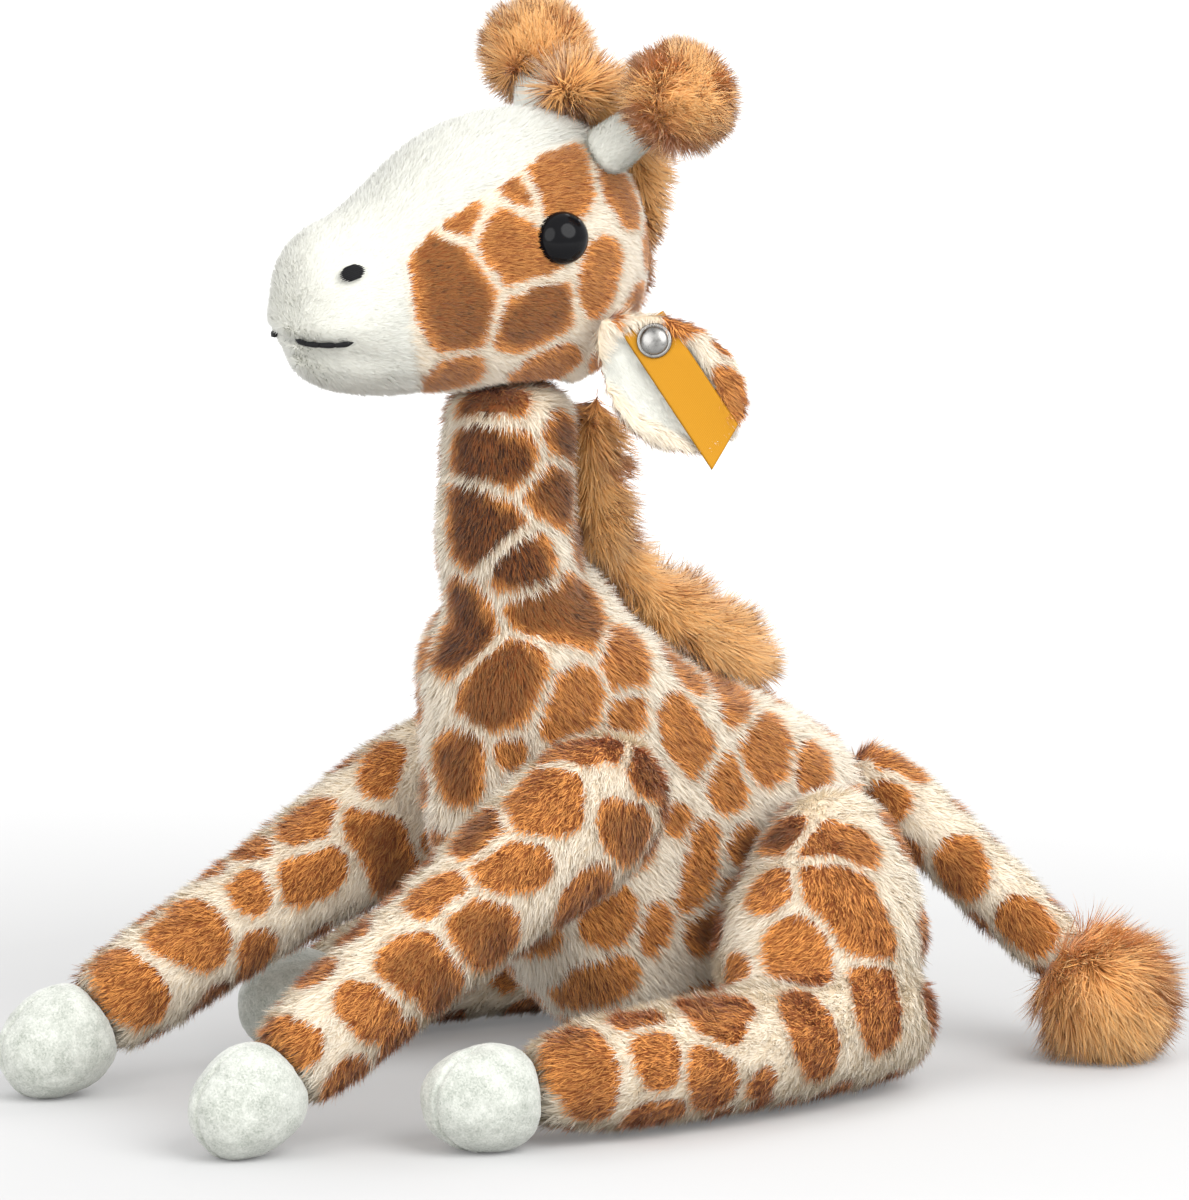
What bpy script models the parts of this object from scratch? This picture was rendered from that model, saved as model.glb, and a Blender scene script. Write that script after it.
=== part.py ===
"""Seated plush giraffe with floppy legs, a bending neck, a turning head, hanging ears and a swinging tail.

Metres, Z up. The toy faces -Y and its left side is +X. While it is modelled, Y = 0 is the front
of the chest and Z = 0 is the floor. At the end the whole toy is centred over the origin.
"""

import math
from typing import NamedTuple

import bmesh
import bpy
from mathutils import Matrix, Vector
from mathutils.bvhtree import BVHTree

# Clearances and cutting allowances
SEAM_GAP = 0.0003
TURN_GAP = 0.0006
OVERRUN = 0.006
FLOOR_SINK = 0.0005

# Torso
TORSO_LENGTH = 0.136
TORSO_HEIGHT = 0.124
TORSO_WIDTH = 0.050
TORSO_FULLNESS = 0.009

# Neck and the ball that it leans on
NECK_BALL_RADIUS = 0.0295
NECK_BALL_WIDTH = 0.044
NECK_RISE = 0.066
NECK_RADIUS = 0.0192
NECK_DOME = 0.008
NECK_SETBACK = 0.0080

# Head
HEAD_LENGTH = 0.109
HEAD_HEIGHT = 0.078
HEAD_WIDTH = 0.060
HEAD_REACH = 0.069
MUZZLE_LENGTH = 0.027

# Front legs
SHOULDER_RADIUS = 0.0235
SHOULDER_HEIGHT = {"left": 0.0790, "right": 0.0720}
FRONT_LEG_WIDTH = 0.034
FRONT_LEG_LENGTH = 0.130
FRONT_LEG_SPLAY = 0.007
FRONT_LEG_SAG = {"left": 0.0010, "right": 0.0012}
FRONT_LEG_THINNING = {"left": 0.0010, "right": 0.0023}

# Hind legs: the haunch against the torso and the lower leg that turns in it
HIP_HEIGHT = 0.048
HAUNCH_RADIUS = 0.0265
HAUNCH_WIDTH = 0.045
KNEE_RADIUS = 0.0200
KNEE_SETBACK = 0.0030
KNEE_SPLAY = 0.0110
HIND_LEG_WIDTH = 0.0345
HIND_LEG_REACH = {"left": 0.131, "right": 0.111}
HIND_LEG_BOW = {"left": 0.0100, "right": 0.0150}
HIND_HOOF_SPLAY = {"left": 0.0140, "right": 0.0010}

# Hooves
HOOF_DIAMETER = 0.0295
HOOF_LENGTH = 0.0305
FRONT_HOOF_HEIGHT = 0.0128
HIND_HOOF_HEIGHT = 0.0136

# Tail
TAIL_RADIUS = 0.0105
TAIL_HEIGHT = 0.069
TAIL_ROOT_PROUD = 0.0030
TAIL_SIDEWAYS = 0.052
TAIL_BACKWARD = 0.034
TUFT_LENGTH = 0.044
TUFT_WIDTH = 0.040
TUFT_HEIGHT = 0.0184

# Ears
EAR_LENGTH = 0.049
EAR_WIDTH = 0.030
EAR_THICKNESS = 0.0030
EAR_LINING_THICKNESS = 0.0022
EAR_LINING_MARGIN = 0.0018
EAR_STANDOFF = -0.0009

# Horns and crest
HORN_BASE_RADIUS = 0.0078
HORN_TIP_RADIUS = 0.0055
HORN_LENGTH = 0.0235
HORN_TUFT_RADIUS = 0.0140
CREST_WIDTH = 0.016
CREST_DEPTH = 0.015

# Mane along the neck and over the withers
MANE_WIDTH = 0.017
MANE_DEPTH = 0.016

# Eyes with their shanks and washers
EYE_DIAMETER = 0.0120
EYE_DOME = 0.0052
EYE_SUNK = 0.0012
EYE_SHANK_RADIUS = 0.0016
EYE_SHANK_LENGTH = 0.0125
WASHER_RADIUS = 0.0060
WASHER_THICKNESS = 0.0016
WASHER_DEPTH = 0.0080

# Stitched nostrils and mouth
NOSTRIL_LENGTH = 0.0062
NOSTRIL_WIDTH = 0.0034
NOSTRIL_THICKNESS = 0.0016
MOUTH_THREAD = 0.0012

# Ribbon tag with its stud through the ear
TAG_WIDTH = 0.0120
TAG_LENGTH = 0.0385
TAG_THICKNESS = 0.0008
STUD_RADIUS = 0.0045
STUD_DOME = 0.0022
STUD_SHANK_RADIUS = 0.0012
STUD_BACK_RADIUS = 0.0040
STUD_BACK_THICKNESS = 0.0008
SHANK_GAPS = 4

# Bag of pellets that weighs the seat down, in the stuffing
BAG_LENGTH = 0.052
BAG_WIDTH = 0.034
BAG_HEIGHT = 0.030
BAG_LIFT = 0.012
STUFFING_CHANNEL_RADIUS = 0.0050

# Facets
FORM_SIDES = 8
SLIM_SIDES = 6
BALL_SEGMENTS = 20
SMALL_SEGMENTS = 12
ARC_STEPS = 4

# Torso stations from seat to collar: height, centre, half length and half width
TORSO_SHARES = (
    (0.005, 0.607, 0.200, 0.66),
    (0.12, 0.590, 0.295, 0.90),
    (0.29, 0.537, 0.405, 1.00),
    (0.47, 0.512, 0.491, 1.00),
    (0.60, 0.508, 0.505, 1.00),
    (0.71, 0.445, 0.436, 1.00),
    (0.79, 0.380, 0.372, 1.00),
    (0.87, 0.290, 0.282, 0.97),
    (0.98, 0.253, 0.236, 0.93),
)
NECK_BALL_SHARE = 0.254
NECK_BALL_HEIGHT_SHARE = 0.9032
NECK_DOME_SHARE = 0.93
# Neck stations from the ball's middle to the top seam: height, setback and radius
NECK_SHARES = (
    (0.10, 0.20, 1.10),
    (0.34, 0.95, 1.15),
    (0.56, 1.05, 1.06),
    (0.80, 1.00, 1.00),
    (1.00, 1.00, 1.00),
    (1.06, 1.00, 0.80),
)
# Head stations from nape to nose: length, middle height, half height and half width
HEAD_SHARES = (
    (0.045, 0.474, 0.270, 0.54),
    (0.130, 0.481, 0.430, 0.85),
    (0.240, 0.487, 0.495, 0.98),
    (0.390, 0.497, 0.503, 0.98),
    (0.510, 0.494, 0.472, 0.91),
    (0.610, 0.468, 0.432, 0.83),
    (0.700, 0.417, 0.380, 0.76),
    (0.790, 0.372, 0.325, 0.70),
    (0.880, 0.372, 0.297, 0.64),
    (0.955, 0.378, 0.225, 0.47),
)
HEAD_END_SHARES = (0.474, 0.378)
# Front leg stations from shoulder to hoof: along, rise above the straight line, width and height
FRONT_LEG_SHARES = (
    (-0.12, 0.00, 0.62, 0.70),
    (0.00, 0.00, 1.00, 1.00),
    (0.15, 0.05, 1.02, 0.97),
    (0.38, 0.09, 0.96, 0.83),
    (0.66, 0.07, 0.89, 0.75),
    (0.90, 0.02, 0.86, 0.73),
)
# Haunch stations from top to bottom: drop towards the knee, width, length and how far forward
HAUNCH_SHARES = (
    (-0.88, 0.50, 0.60, 0.00),
    (-0.50, 0.76, 0.89, 0.01),
    (0.00, 1.00, 1.13, 0.20),
    (0.45, 1.02, 1.37, 0.54),
    (0.90, 1.02, 1.40, 0.56),
)
HAUNCH_END_SHARES = (-1.10, 1.30)
# Lower hind leg stations from knee to seam: along and width
HIND_LEG_SHARES = (
    (-0.09, 0.95),
    (0.05, 1.14),
    (0.35, 1.11),
    (0.68, 1.03),
    (0.97, 0.95),
)
# Hoof stations from its seam to its toe: along, width and height
HOOF_SHARES = (
    (0.02, 0.94, 0.94),
    (0.45, 1.06, 1.06),
    (0.88, 0.70, 0.70),
)
TAIL_SHARES = ((-0.10, 0.75), (0.02, 1.04), (0.30, 1.05), (0.60, 1.05), (0.92, 0.95))
TUFT_SHARES = ((0.06, 0.45), (0.30, 0.88), (0.60, 1.02), (0.88, 0.66))
# Ear leaf: along the ear and half width, with the directions of its length and of its lining
EAR_OUTLINE_SHARES = ((0.10, 0.30), (0.28, 0.76), (0.50, 1.00), (0.72, 0.92), (0.90, 0.58))
EAR_ALONG_SHARES = (0.59, 0.50, -0.63)
EAR_FACING_SHARES = (0.77, -0.58, 0.26)
# Mane stations down the back of the neck: height up the neck, neck radius there, width and depth
MANE_SHARES = (
    (0.92, 1.00, 0.85, 0.60),
    (0.74, 1.02, 1.00, 0.80),
    (0.58, 1.07, 1.05, 1.00),
    (0.43, 1.15, 0.95, 0.95),
)
MANE_END_SHARES = (0.99, 0.36)
MANE_STANDOFF_SHARE = 0.62
# Withers mane from its front to its back: torso length and height, width and depth
WITHERS_SHARES = (
    (0.500, 1.000, 0.95, 0.95),
    (0.560, 0.935, 1.15, 1.30),
    (0.640, 0.880, 1.10, 1.15),
    (0.720, 0.835, 0.90, 0.80),
)
WITHERS_END_SHARES = ((0.465, 1.035), (0.780, 0.800))
# Crest stations from the crown to the nape: head length, head height and thickness
CREST_SHARES = (
    (0.220, 1.020, 0.85),
    (0.130, 0.995, 1.05),
    (0.035, 0.860, 0.95),
    (-0.010, 0.560, 0.80),
    (0.030, 0.280, 0.65),
)
CREST_END_SHARES = ((0.290, 1.010), (0.075, 0.130))
# Horn foot and lean on the head: length, height and half width, then sideways, back and up
HORN_FOOT_SHARES = (0.174, 0.846, 0.60)
HORN_LEAN_SHARES = {"left": (0.70, 0.40, 0.59), "right": (0.60, 0.34, 0.72)}
# Where lines leave the head for its features: start length and height, then their direction
EYE_START_SHARES = (0.315, 0.535)
EYE_TOWARD_SHARES = (0.97, -0.18, 0.14)
NOSTRIL_START_SHARES = (0.77, 0.40)
NOSTRIL_TOWARD_SHARES = (0.74, -0.50, 0.40)
MOUTH_START_SHARES = (0.83, 0.272)
MOUTH_TURN_SHARES = (0.20, 0.34, 0.50, 0.66, 0.82)
EAR_START_SHARES = (0.288, 0.34)
EAR_OUTWARD_SHARES = (1.00, 0.10, -0.05)
# The stud on the ear: along it and across it, and the ribbon's start and turn about the stud
STUD_ALONG_SHARE = 0.34
STUD_ACROSS_SHARE = 0.16
TAG_START_SHARE = 0.15
TAG_TURN_SHARE = -0.08
HIP_SHARE = 0.754
TAIL_ROOT_SWELL_SHARE = 1.12
HAUNCH_CUFF_SHARE = 0.30
EYE_FACING_SHARES = (0.93, -0.30, 0.20)
SHOULDER_SHARE = 0.24
BAG_SHARE = 0.58
SEAT_SHARE = 0.0115
COLLAR_SHARE = 0.03
HOOF_ROOT_SHARE = 0.12
SHOULDER_OUT_SHARE = 0.375
HIP_OUT_SHARE = 0.44

# Places that follow from the sizes
SEAT_DEPTH = TORSO_HEIGHT * SEAT_SHARE
MERGE = SEAM_GAP / 10
neck_pivot = Vector((0, NECK_BALL_SHARE * TORSO_LENGTH, NECK_BALL_HEIGHT_SHARE * TORSO_HEIGHT))
neck_top = neck_pivot + Vector((0, -NECK_SETBACK, NECK_RISE))
nape = neck_top.y - HEAD_REACH + HEAD_LENGTH
muzzle_seam = nape - HEAD_LENGTH + MUZZLE_LENGTH
flank = TORSO_WIDTH / 2
leg_flank = flank + SEAM_GAP
SIDES = (("left", 1), ("right", -1))
UP = Vector((0, 0, 1))
FORWARD = Vector((0, -1, 0))

shoulder = {}
front_hoof = {}
hip = {}
knee = {}
for side, way in SIDES:
    shoulder_out = leg_flank + FRONT_LEG_WIDTH * SHOULDER_OUT_SHARE
    shoulder[way] = Vector((way * shoulder_out, SHOULDER_SHARE * TORSO_LENGTH, SHOULDER_HEIGHT[side]))
    drop = SHOULDER_HEIGHT[side] - FRONT_HOOF_HEIGHT
    reach = math.sqrt(FRONT_LEG_LENGTH**2 - drop**2 - FRONT_LEG_SPLAY**2)
    front_hoof[way] = shoulder[way] + Vector((way * FRONT_LEG_SPLAY, -reach, -drop))
    hip_out = leg_flank + HAUNCH_WIDTH * HIP_OUT_SHARE
    hip[way] = Vector((way * hip_out, HIP_SHARE * TORSO_LENGTH, HIP_HEIGHT))
    knee[way] = Vector((hip[way].x + way * KNEE_SPLAY, hip[way].y + KNEE_SETBACK, KNEE_RADIUS - FLOOR_SINK))
tail_root = Vector((0, TORSO_LENGTH + TAIL_ROOT_PROUD, TAIL_HEIGHT))
tuft_centre = tail_root + Vector((TAIL_SIDEWAYS, TAIL_BACKWARD, TUFT_HEIGHT - TAIL_HEIGHT))
ear_root = {}


def new_collection(name):
    made = bpy.data.collections.new(name)
    bpy.context.scene.collection.children.link(made)
    return made


def finish(name, colour, roughness, metallic=0.0):
    made = bpy.data.materials.new(name)
    made.use_nodes = True
    shader = made.node_tree.nodes["Principled BSDF"]
    shader.inputs["Base Color"].default_value = (*colour, 1.0)
    shader.inputs["Roughness"].default_value = roughness
    shader.inputs["Metallic"].default_value = metallic
    return made


def joint_empty(name, place, parent=None):
    """An empty on a joint's axis. The pieces of the moving body hang from it."""
    made = bpy.data.objects.new(name, None)
    parts.objects.link(made)
    made.empty_display_size = SHOULDER_RADIUS
    made["place"] = tuple(place)
    if parent:
        made.parent = parent
        made.location = Vector(place) - Vector(parent["place"])
    else:
        made.location = place
    return made


def put(name, shape, holder, material=None):
    """An object from a bmesh modelled in the toy's own coordinates, with its origin at its holder."""
    mesh = bpy.data.meshes.new(name)
    shape.to_mesh(mesh)
    shape.free()
    mesh.transform(Matrix.Translation(-Vector(holder["place"])))
    mesh.shade_smooth()
    made = bpy.data.objects.new(name, mesh)
    made.parent = holder
    if material:
        parts.objects.link(made)
        mesh.materials.append(material)
    else:
        cutters.objects.link(made)
        made.hide_render = True
        made.display_type = "WIRE"
    return made


def soften(piece):
    """One level of subdivision, which rounds a coarse cage."""
    subdivide = piece.modifiers.new("soften", "SUBSURF")
    subdivide.levels = 1
    subdivide.render_levels = 1
    return piece


def carve(piece, cutter, operation="DIFFERENCE"):
    boolean = piece.modifiers.new(cutter.name, "BOOLEAN")
    boolean.operation = operation
    boolean.solver = "EXACT"
    boolean.object = cutter


class Form(NamedTuple):
    """A stuffed form: stations of (centre, half width, half height) between two end points."""

    stations: list
    first: Vector
    last: Vector
    sides: int = FORM_SIDES
    across: Vector = Vector((1, 0, 0))
    along: Vector = None


def swelling(form, grow=0.0):
    """A sphere's rings drawn over a form's stations, with its poles at the two ends."""
    shape = bmesh.new()
    rings = len(form.stations) + 1
    bmesh.ops.create_uvsphere(shape, u_segments=form.sides, v_segments=rings, radius=1)
    levels = sorted({round(vertex.co.z, 5) for vertex in shape.verts})
    centres = [form.first] + [station[0] for station in form.stations] + [form.last]
    gain = 1 / math.cos(math.pi / form.sides)
    for vertex in shape.verts:
        index = levels.index(round(vertex.co.z, 5))
        before = centres[max(index - 1, 0)]
        after = centres[min(index + 1, rings)]
        along = (after - before).normalized()
        if index in (0, rings):
            outward = along if index else -along
            vertex.co = centres[index] + outward * grow
            continue
        along = form.along or along
        side = (form.across - along * form.across.dot(along)).normalized()
        up = along.cross(side)
        turn = math.atan2(vertex.co.y, vertex.co.x)
        _, half_width, half_height = form.stations[index - 1]
        vertex.co = (
            centres[index]
            + side * math.cos(turn) * (half_width + grow) * gain
            + up * math.sin(turn) * (half_height + grow) * gain
        )
    return shape


def stuffed(name, form, holder, material, grow=0.0):
    """A stuffed piece, or with no material a cutter of the same form grown by a clearance."""
    return soften(put(name, swelling(form, grow), holder, material))


def ball(centre, radii, segments, poles="X"):
    """An ellipsoid whose rings run round the named axis."""
    shape = bmesh.new()
    bmesh.ops.create_uvsphere(shape, u_segments=segments, v_segments=segments // 2, radius=1)
    if poles == "X":
        bmesh.ops.rotate(shape, matrix=Matrix.Rotation(math.pi / 2, 3, "Y"), verts=shape.verts)
    bmesh.ops.scale(shape, vec=Vector(radii), verts=shape.verts)
    bmesh.ops.translate(shape, vec=Vector(centre), verts=shape.verts)
    return shape


def block(low, high):
    shape = bmesh.new()
    bmesh.ops.create_cube(shape, size=1)
    low, high = Vector(low), Vector(high)
    bmesh.ops.scale(shape, vec=high - low, verts=shape.verts)
    bmesh.ops.translate(shape, vec=(low + high) / 2, verts=shape.verts)
    return shape


def facing(shape, origin, toward):
    """Turns a shape made along +Z to face another way, and moves it to its place."""
    turn = Vector((0, 0, 1)).rotation_difference(Vector(toward)).to_matrix().to_4x4()
    bmesh.ops.transform(shape, matrix=Matrix.Translation(origin) @ turn, verts=shape.verts)
    return shape


def rod(radius, low, high, segments=SMALL_SEGMENTS, top_radius=None):
    """A cylinder or cone along +Z between two heights."""
    shape = bmesh.new()
    bmesh.ops.create_cone(
        shape,
        cap_ends=True,
        segments=segments,
        radius1=radius,
        radius2=radius if top_radius is None else top_radius,
        depth=high - low,
    )
    bmesh.ops.translate(shape, vec=Vector((0, 0, (low + high) / 2)), verts=shape.verts)
    return shape


def turned(name, profile, place, toward, holder, material=None, segments=SMALL_SEGMENTS):
    """A profile of (radius, height) points, run down its outer side, turned about its own axis by a Screw."""
    mesh = bpy.data.meshes.new(name)
    edges = [(step, step + 1) for step in range(len(profile) - 1)]
    mesh.from_pydata([(radius, 0, height) for radius, height in profile], edges, [])
    made = bpy.data.objects.new(name, mesh)
    screw = made.modifiers.new("turn", "SCREW")
    screw.steps = screw.render_steps = segments
    screw.use_merge_vertices = True
    screw.merge_threshold = MERGE
    screw.use_smooth_shade = True
    made.rotation_mode = "QUATERNION"
    made.rotation_quaternion = Vector((0, 0, 1)).rotation_difference(Vector(toward))
    made.parent = holder
    made.location = Vector(place) - Vector(holder["place"])
    if material:
        parts.objects.link(made)
        mesh.materials.append(material)
    else:
        cutters.objects.link(made)
        made.hide_render = True
        made.display_type = "WIRE"
    return made


def beyond(name, place, toward, holder):
    """A cutter that removes everything on the far side of a plane."""
    reach = 2 * (TORSO_LENGTH + HEAD_LENGTH)
    half_space = block((-reach, -reach, 0), (reach, reach, reach))
    return put(name, facing(half_space, Vector(place), toward), holder)


def surface(piece, holder, start, toward):
    """Where a line from inside a form leaves it, and the form's outward direction there."""
    bpy.context.view_layer.update()
    tree = BVHTree.FromObject(piece, bpy.context.evaluated_depsgraph_get())
    offset = Vector(holder["place"])
    place, normal, _, _ = tree.ray_cast(Vector(start) - offset, Vector(toward).normalized())
    return place + offset, normal


def mirrored(vector, sign):
    return Vector((vector[0] * sign, vector[1], vector[2]))


def head_point(length_share, height_share, width_share=0.0):
    """A place in the head's box, by shares of its length from the nape, its height and its half width."""
    return Vector(
        (
            width_share * HEAD_WIDTH / 2,
            nape - length_share * HEAD_LENGTH,
            neck_top.z + height_share * HEAD_HEIGHT,
        )
    )


def torso_form():
    stations = [
        (
            Vector((0, centre * TORSO_LENGTH, height * TORSO_HEIGHT)),
            width * (TORSO_WIDTH / 2 + TORSO_FULLNESS),
            length * TORSO_LENGTH,
        )
        for height, centre, length, width in TORSO_SHARES
    ]
    first = Vector((0, stations[0][0].y, -SEAT_DEPTH))
    last = stations[-1][0] + Vector((0, 0, COLLAR_SHARE * TORSO_HEIGHT))
    return Form(stations, first, last, along=UP)


def neck_form():
    stations = [
        (
            Vector((0, neck_pivot.y - setback * NECK_SETBACK, neck_pivot.z + height * NECK_RISE)),
            radius * NECK_RADIUS,
            radius * NECK_RADIUS,
        )
        for height, setback, radius in NECK_SHARES
    ]
    return Form(stations, neck_pivot, neck_top + Vector((0, 0, NECK_DOME / 2)), along=UP)


def head_form():
    stations = [
        (head_point(length, middle), width * HEAD_WIDTH / 2, height * HEAD_HEIGHT)
        for length, middle, height, width in HEAD_SHARES
    ]
    nape_end, nose_end = HEAD_END_SHARES
    return Form(stations, head_point(0, nape_end), head_point(1, nose_end), along=FORWARD)


def front_leg_form(side, sign):
    """The front leg, thinner and lower between its shoulder and its hoof where less is stuffed in it."""
    along = (front_hoof[sign] - shoulder[sign]).normalized()
    rise = Vector((-1, 0, 0)).cross(along)
    stations = []
    for share, lift, width, height in FRONT_LEG_SHARES:
        middle = math.sin(math.pi * min(max(share, 0), 1))
        raised = lift * SHOULDER_RADIUS - middle * FRONT_LEG_SAG[side]
        half_height = height * SHOULDER_RADIUS - middle * FRONT_LEG_THINNING[side]
        centre = shoulder[sign] + along * share * FRONT_LEG_LENGTH + rise * raised
        stations.append((centre, width * FRONT_LEG_WIDTH / 2, half_height))
    first = shoulder[sign] - along * SHOULDER_RADIUS
    return Form(stations, first, front_hoof[sign])


def hoof_form(seam, along):
    stations = [
        (seam + along * share * HOOF_LENGTH, width * HOOF_DIAMETER / 2, height * HOOF_DIAMETER / 2)
        for share, width, height in HOOF_SHARES
    ]
    return Form(stations, seam - along * HOOF_ROOT_SHARE * HOOF_LENGTH, seam + along * HOOF_LENGTH)


def haunch_form(sign):
    drop = knee[sign] - hip[sign]
    stations = [
        (
            hip[sign] + drop * share + FORWARD * forward * HAUNCH_RADIUS,
            width * HAUNCH_WIDTH / 2,
            length * HAUNCH_RADIUS,
        )
        for share, width, length, forward in HAUNCH_SHARES
    ]
    top_share, foot_share = HAUNCH_END_SHARES
    return Form(stations, hip[sign] + drop * top_share, hip[sign] + drop * foot_share)


def hind_leg_point(side, sign, share):
    """A place on the bowed line that the lower leg follows, at the floor."""
    sideways = HIND_HOOF_SPLAY[side] * share + HIND_LEG_BOW[side] * 4 * share * (1 - share)
    return Vector((knee[sign].x + sign * sideways, knee[sign].y - HIND_LEG_REACH[side] * share, 0))


def hind_leg_form(side, sign):
    stations = []
    for share, width in HIND_LEG_SHARES:
        radius = width * HIND_LEG_WIDTH / 2
        centre = hind_leg_point(side, sign, share * hind_seam_share(side))
        centre.z = radius - FLOOR_SINK
        stations.append((centre, radius, radius))
    first = knee[sign] + Vector((0, KNEE_RADIUS, 0))
    last = hind_leg_point(side, sign, 1)
    last.z = HIND_HOOF_HEIGHT
    return Form(stations, first, last)


def hind_seam_share(side):
    return 1 - HOOF_LENGTH / 2 / HIND_LEG_REACH[side]


def tail_form():
    drop = tuft_centre - tail_root
    stations = [
        (tail_root + drop * share, width * TAIL_RADIUS, width * TAIL_RADIUS)
        for share, width in TAIL_SHARES
    ]
    return Form(stations, tail_root - drop.normalized() * TAIL_RADIUS, tuft_centre, SLIM_SIDES)


def tuft_form():
    along = (tuft_centre - tail_root).normalized()
    start = tuft_centre - along * TUFT_LENGTH / 2
    stations = [
        (start + along * share * TUFT_LENGTH, width * TUFT_WIDTH / 2, width * TUFT_WIDTH / 2)
        for share, width in TUFT_SHARES
    ]
    return Form(stations, start, start + along * TUFT_LENGTH, SLIM_SIDES)


def ear_form(sign, margin=0.0):
    """The ear leaf, thin across its facing direction."""
    along, _, across = ear_frame(sign)
    length = EAR_LENGTH - margin
    half_thickness = (EAR_THICKNESS + EAR_LINING_THICKNESS) / 2
    stations = [
        (
            ear_root[sign] + along * share * length,
            max(width * EAR_WIDTH / 2 - margin, half_thickness),
            half_thickness,
        )
        for share, width in EAR_OUTLINE_SHARES
    ]
    tip = ear_root[sign] + along * length
    return Form(stations, ear_root[sign], tip, across=across)


def ear_frame(sign):
    """Directions along the hanging ear, out of its lining and across it."""
    along = mirrored(Vector(EAR_ALONG_SHARES).normalized(), sign)
    lining = mirrored(Vector(EAR_FACING_SHARES), sign)
    lining = (lining - along * lining.dot(along)).normalized()
    return along, lining, lining.cross(along)


def mane_form():
    """The fur strip down the back of the neck."""

    def back(share, radius, depth):
        behind = radius * NECK_RADIUS + MANE_STANDOFF_SHARE * depth * MANE_DEPTH / 2
        return Vector((0, neck_top.y + behind, neck_pivot.z + share * NECK_RISE))

    stations = [
        (back(share, radius, depth), width * MANE_WIDTH / 2, depth * MANE_DEPTH / 2)
        for share, radius, width, depth in MANE_SHARES
    ]
    top_share, foot_share = MANE_END_SHARES
    _, top_radius, _, top_depth = MANE_SHARES[0]
    _, foot_radius, _, foot_depth = MANE_SHARES[-1]
    top = back(top_share, top_radius, top_depth)
    foot = back(foot_share, foot_radius, foot_depth)
    return Form(stations, top, foot, SLIM_SIDES)


def withers_form():
    """The fur strip that goes on over the front of the back."""

    def ridge(length, height):
        return Vector((0, length * TORSO_LENGTH, height * TORSO_HEIGHT))

    stations = [
        (ridge(length, height), width * MANE_WIDTH / 2, depth * MANE_DEPTH / 2)
        for length, height, width, depth in WITHERS_SHARES
    ]
    first, last = WITHERS_END_SHARES
    return Form(stations, ridge(*first), ridge(*last), SLIM_SIDES)


def crest_form():
    """The fur strip over the crown and down the back of the head."""
    stations = [
        (head_point(length, height), size * CREST_WIDTH / 2, size * CREST_DEPTH / 2)
        for length, height, size in CREST_SHARES
    ]
    first, last = CREST_END_SHARES
    return Form(stations, head_point(*first), head_point(*last), SLIM_SIDES)


for old in list(bpy.data.objects):
    bpy.data.objects.remove(old)
parts = new_collection("plush_giraffe")
cutters = new_collection("cutters")

spotted = finish("spotted_plush", (0.62, 0.38, 0.17), 0.95)
cream = finish("cream_plush", (0.90, 0.86, 0.76), 0.95)
rust = finish("rust_long_pile", (0.60, 0.31, 0.10), 0.95)
suede = finish("hoof_suede", (0.80, 0.82, 0.78), 0.90)
ribbon = finish("yellow_ribbon", (0.85, 0.58, 0.05), 0.55)
eye_gloss = finish("eye_gloss", (0.01, 0.01, 0.012), 0.05)
washer_plastic = finish("washer_plastic", (0.75, 0.75, 0.72), 0.45)
thread = finish("black_thread", (0.02, 0.02, 0.02), 0.70)
plated = finish("plated_metal", (0.80, 0.80, 0.82), 0.15, 1.0)
pellets = finish("pellet_bag_cloth", (0.85, 0.84, 0.80), 0.90)

# The toy's root, the joints' empties and the cutters that several pieces share
root = joint_empty("root", (0, 0, 0))
neck_joint = joint_empty("neck_joint", neck_pivot, root)
head_joint = joint_empty("head_joint", neck_top, neck_joint)
tail_joint = joint_empty("tail_joint", tail_root, root)
floor = beyond("floor", (0, 0, 0), (0, 0, -1), root)
neck_ball_radii = (NECK_BALL_WIDTH / 2, NECK_BALL_RADIUS, NECK_BALL_RADIUS)
socket_radii = [radius + TURN_GAP for radius in neck_ball_radii]
neck_socket = put("neck_socket", ball(neck_pivot, socket_radii, BALL_SEGMENTS), root)
dome_radius = NECK_RADIUS * NECK_DOME_SHARE
dome_radii = (dome_radius, dome_radius, NECK_DOME)
dome_socket_radii = [radius + TURN_GAP for radius in dome_radii]
neck_dome_socket = put("neck_dome_socket", ball(neck_top, dome_socket_radii, BALL_SEGMENTS, "Z"), head_joint)
neck_clearance = stuffed("neck_clearance", neck_form(), head_joint, None, TURN_GAP)
torso_clearance = stuffed("torso_clearance", torso_form(), root, None, SEAM_GAP)
head_clearance = stuffed("head_clearance", head_form(), head_joint, None, SEAM_GAP)
tail_clearance = stuffed("tail_clearance", tail_form(), root, None, TURN_GAP)

# Torso, cut flat at the seat and down the sides where the legs lie
torso = stuffed("torso", torso_form(), root, spotted)
for side, sign in SIDES:
    carve(torso, beyond(side + "_flank", (sign * flank, 0, 0), (sign, 0, 0), root))
carve(torso, floor)
carve(torso, neck_socket)
tail_socket_radius = TAIL_RADIUS * TAIL_ROOT_SWELL_SHARE + TURN_GAP
tail_socket = put("tail_socket", ball(tail_root, [tail_socket_radius] * 3, SMALL_SEGMENTS), root)
carve(torso, tail_socket)
carve(torso, tail_clearance)

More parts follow.
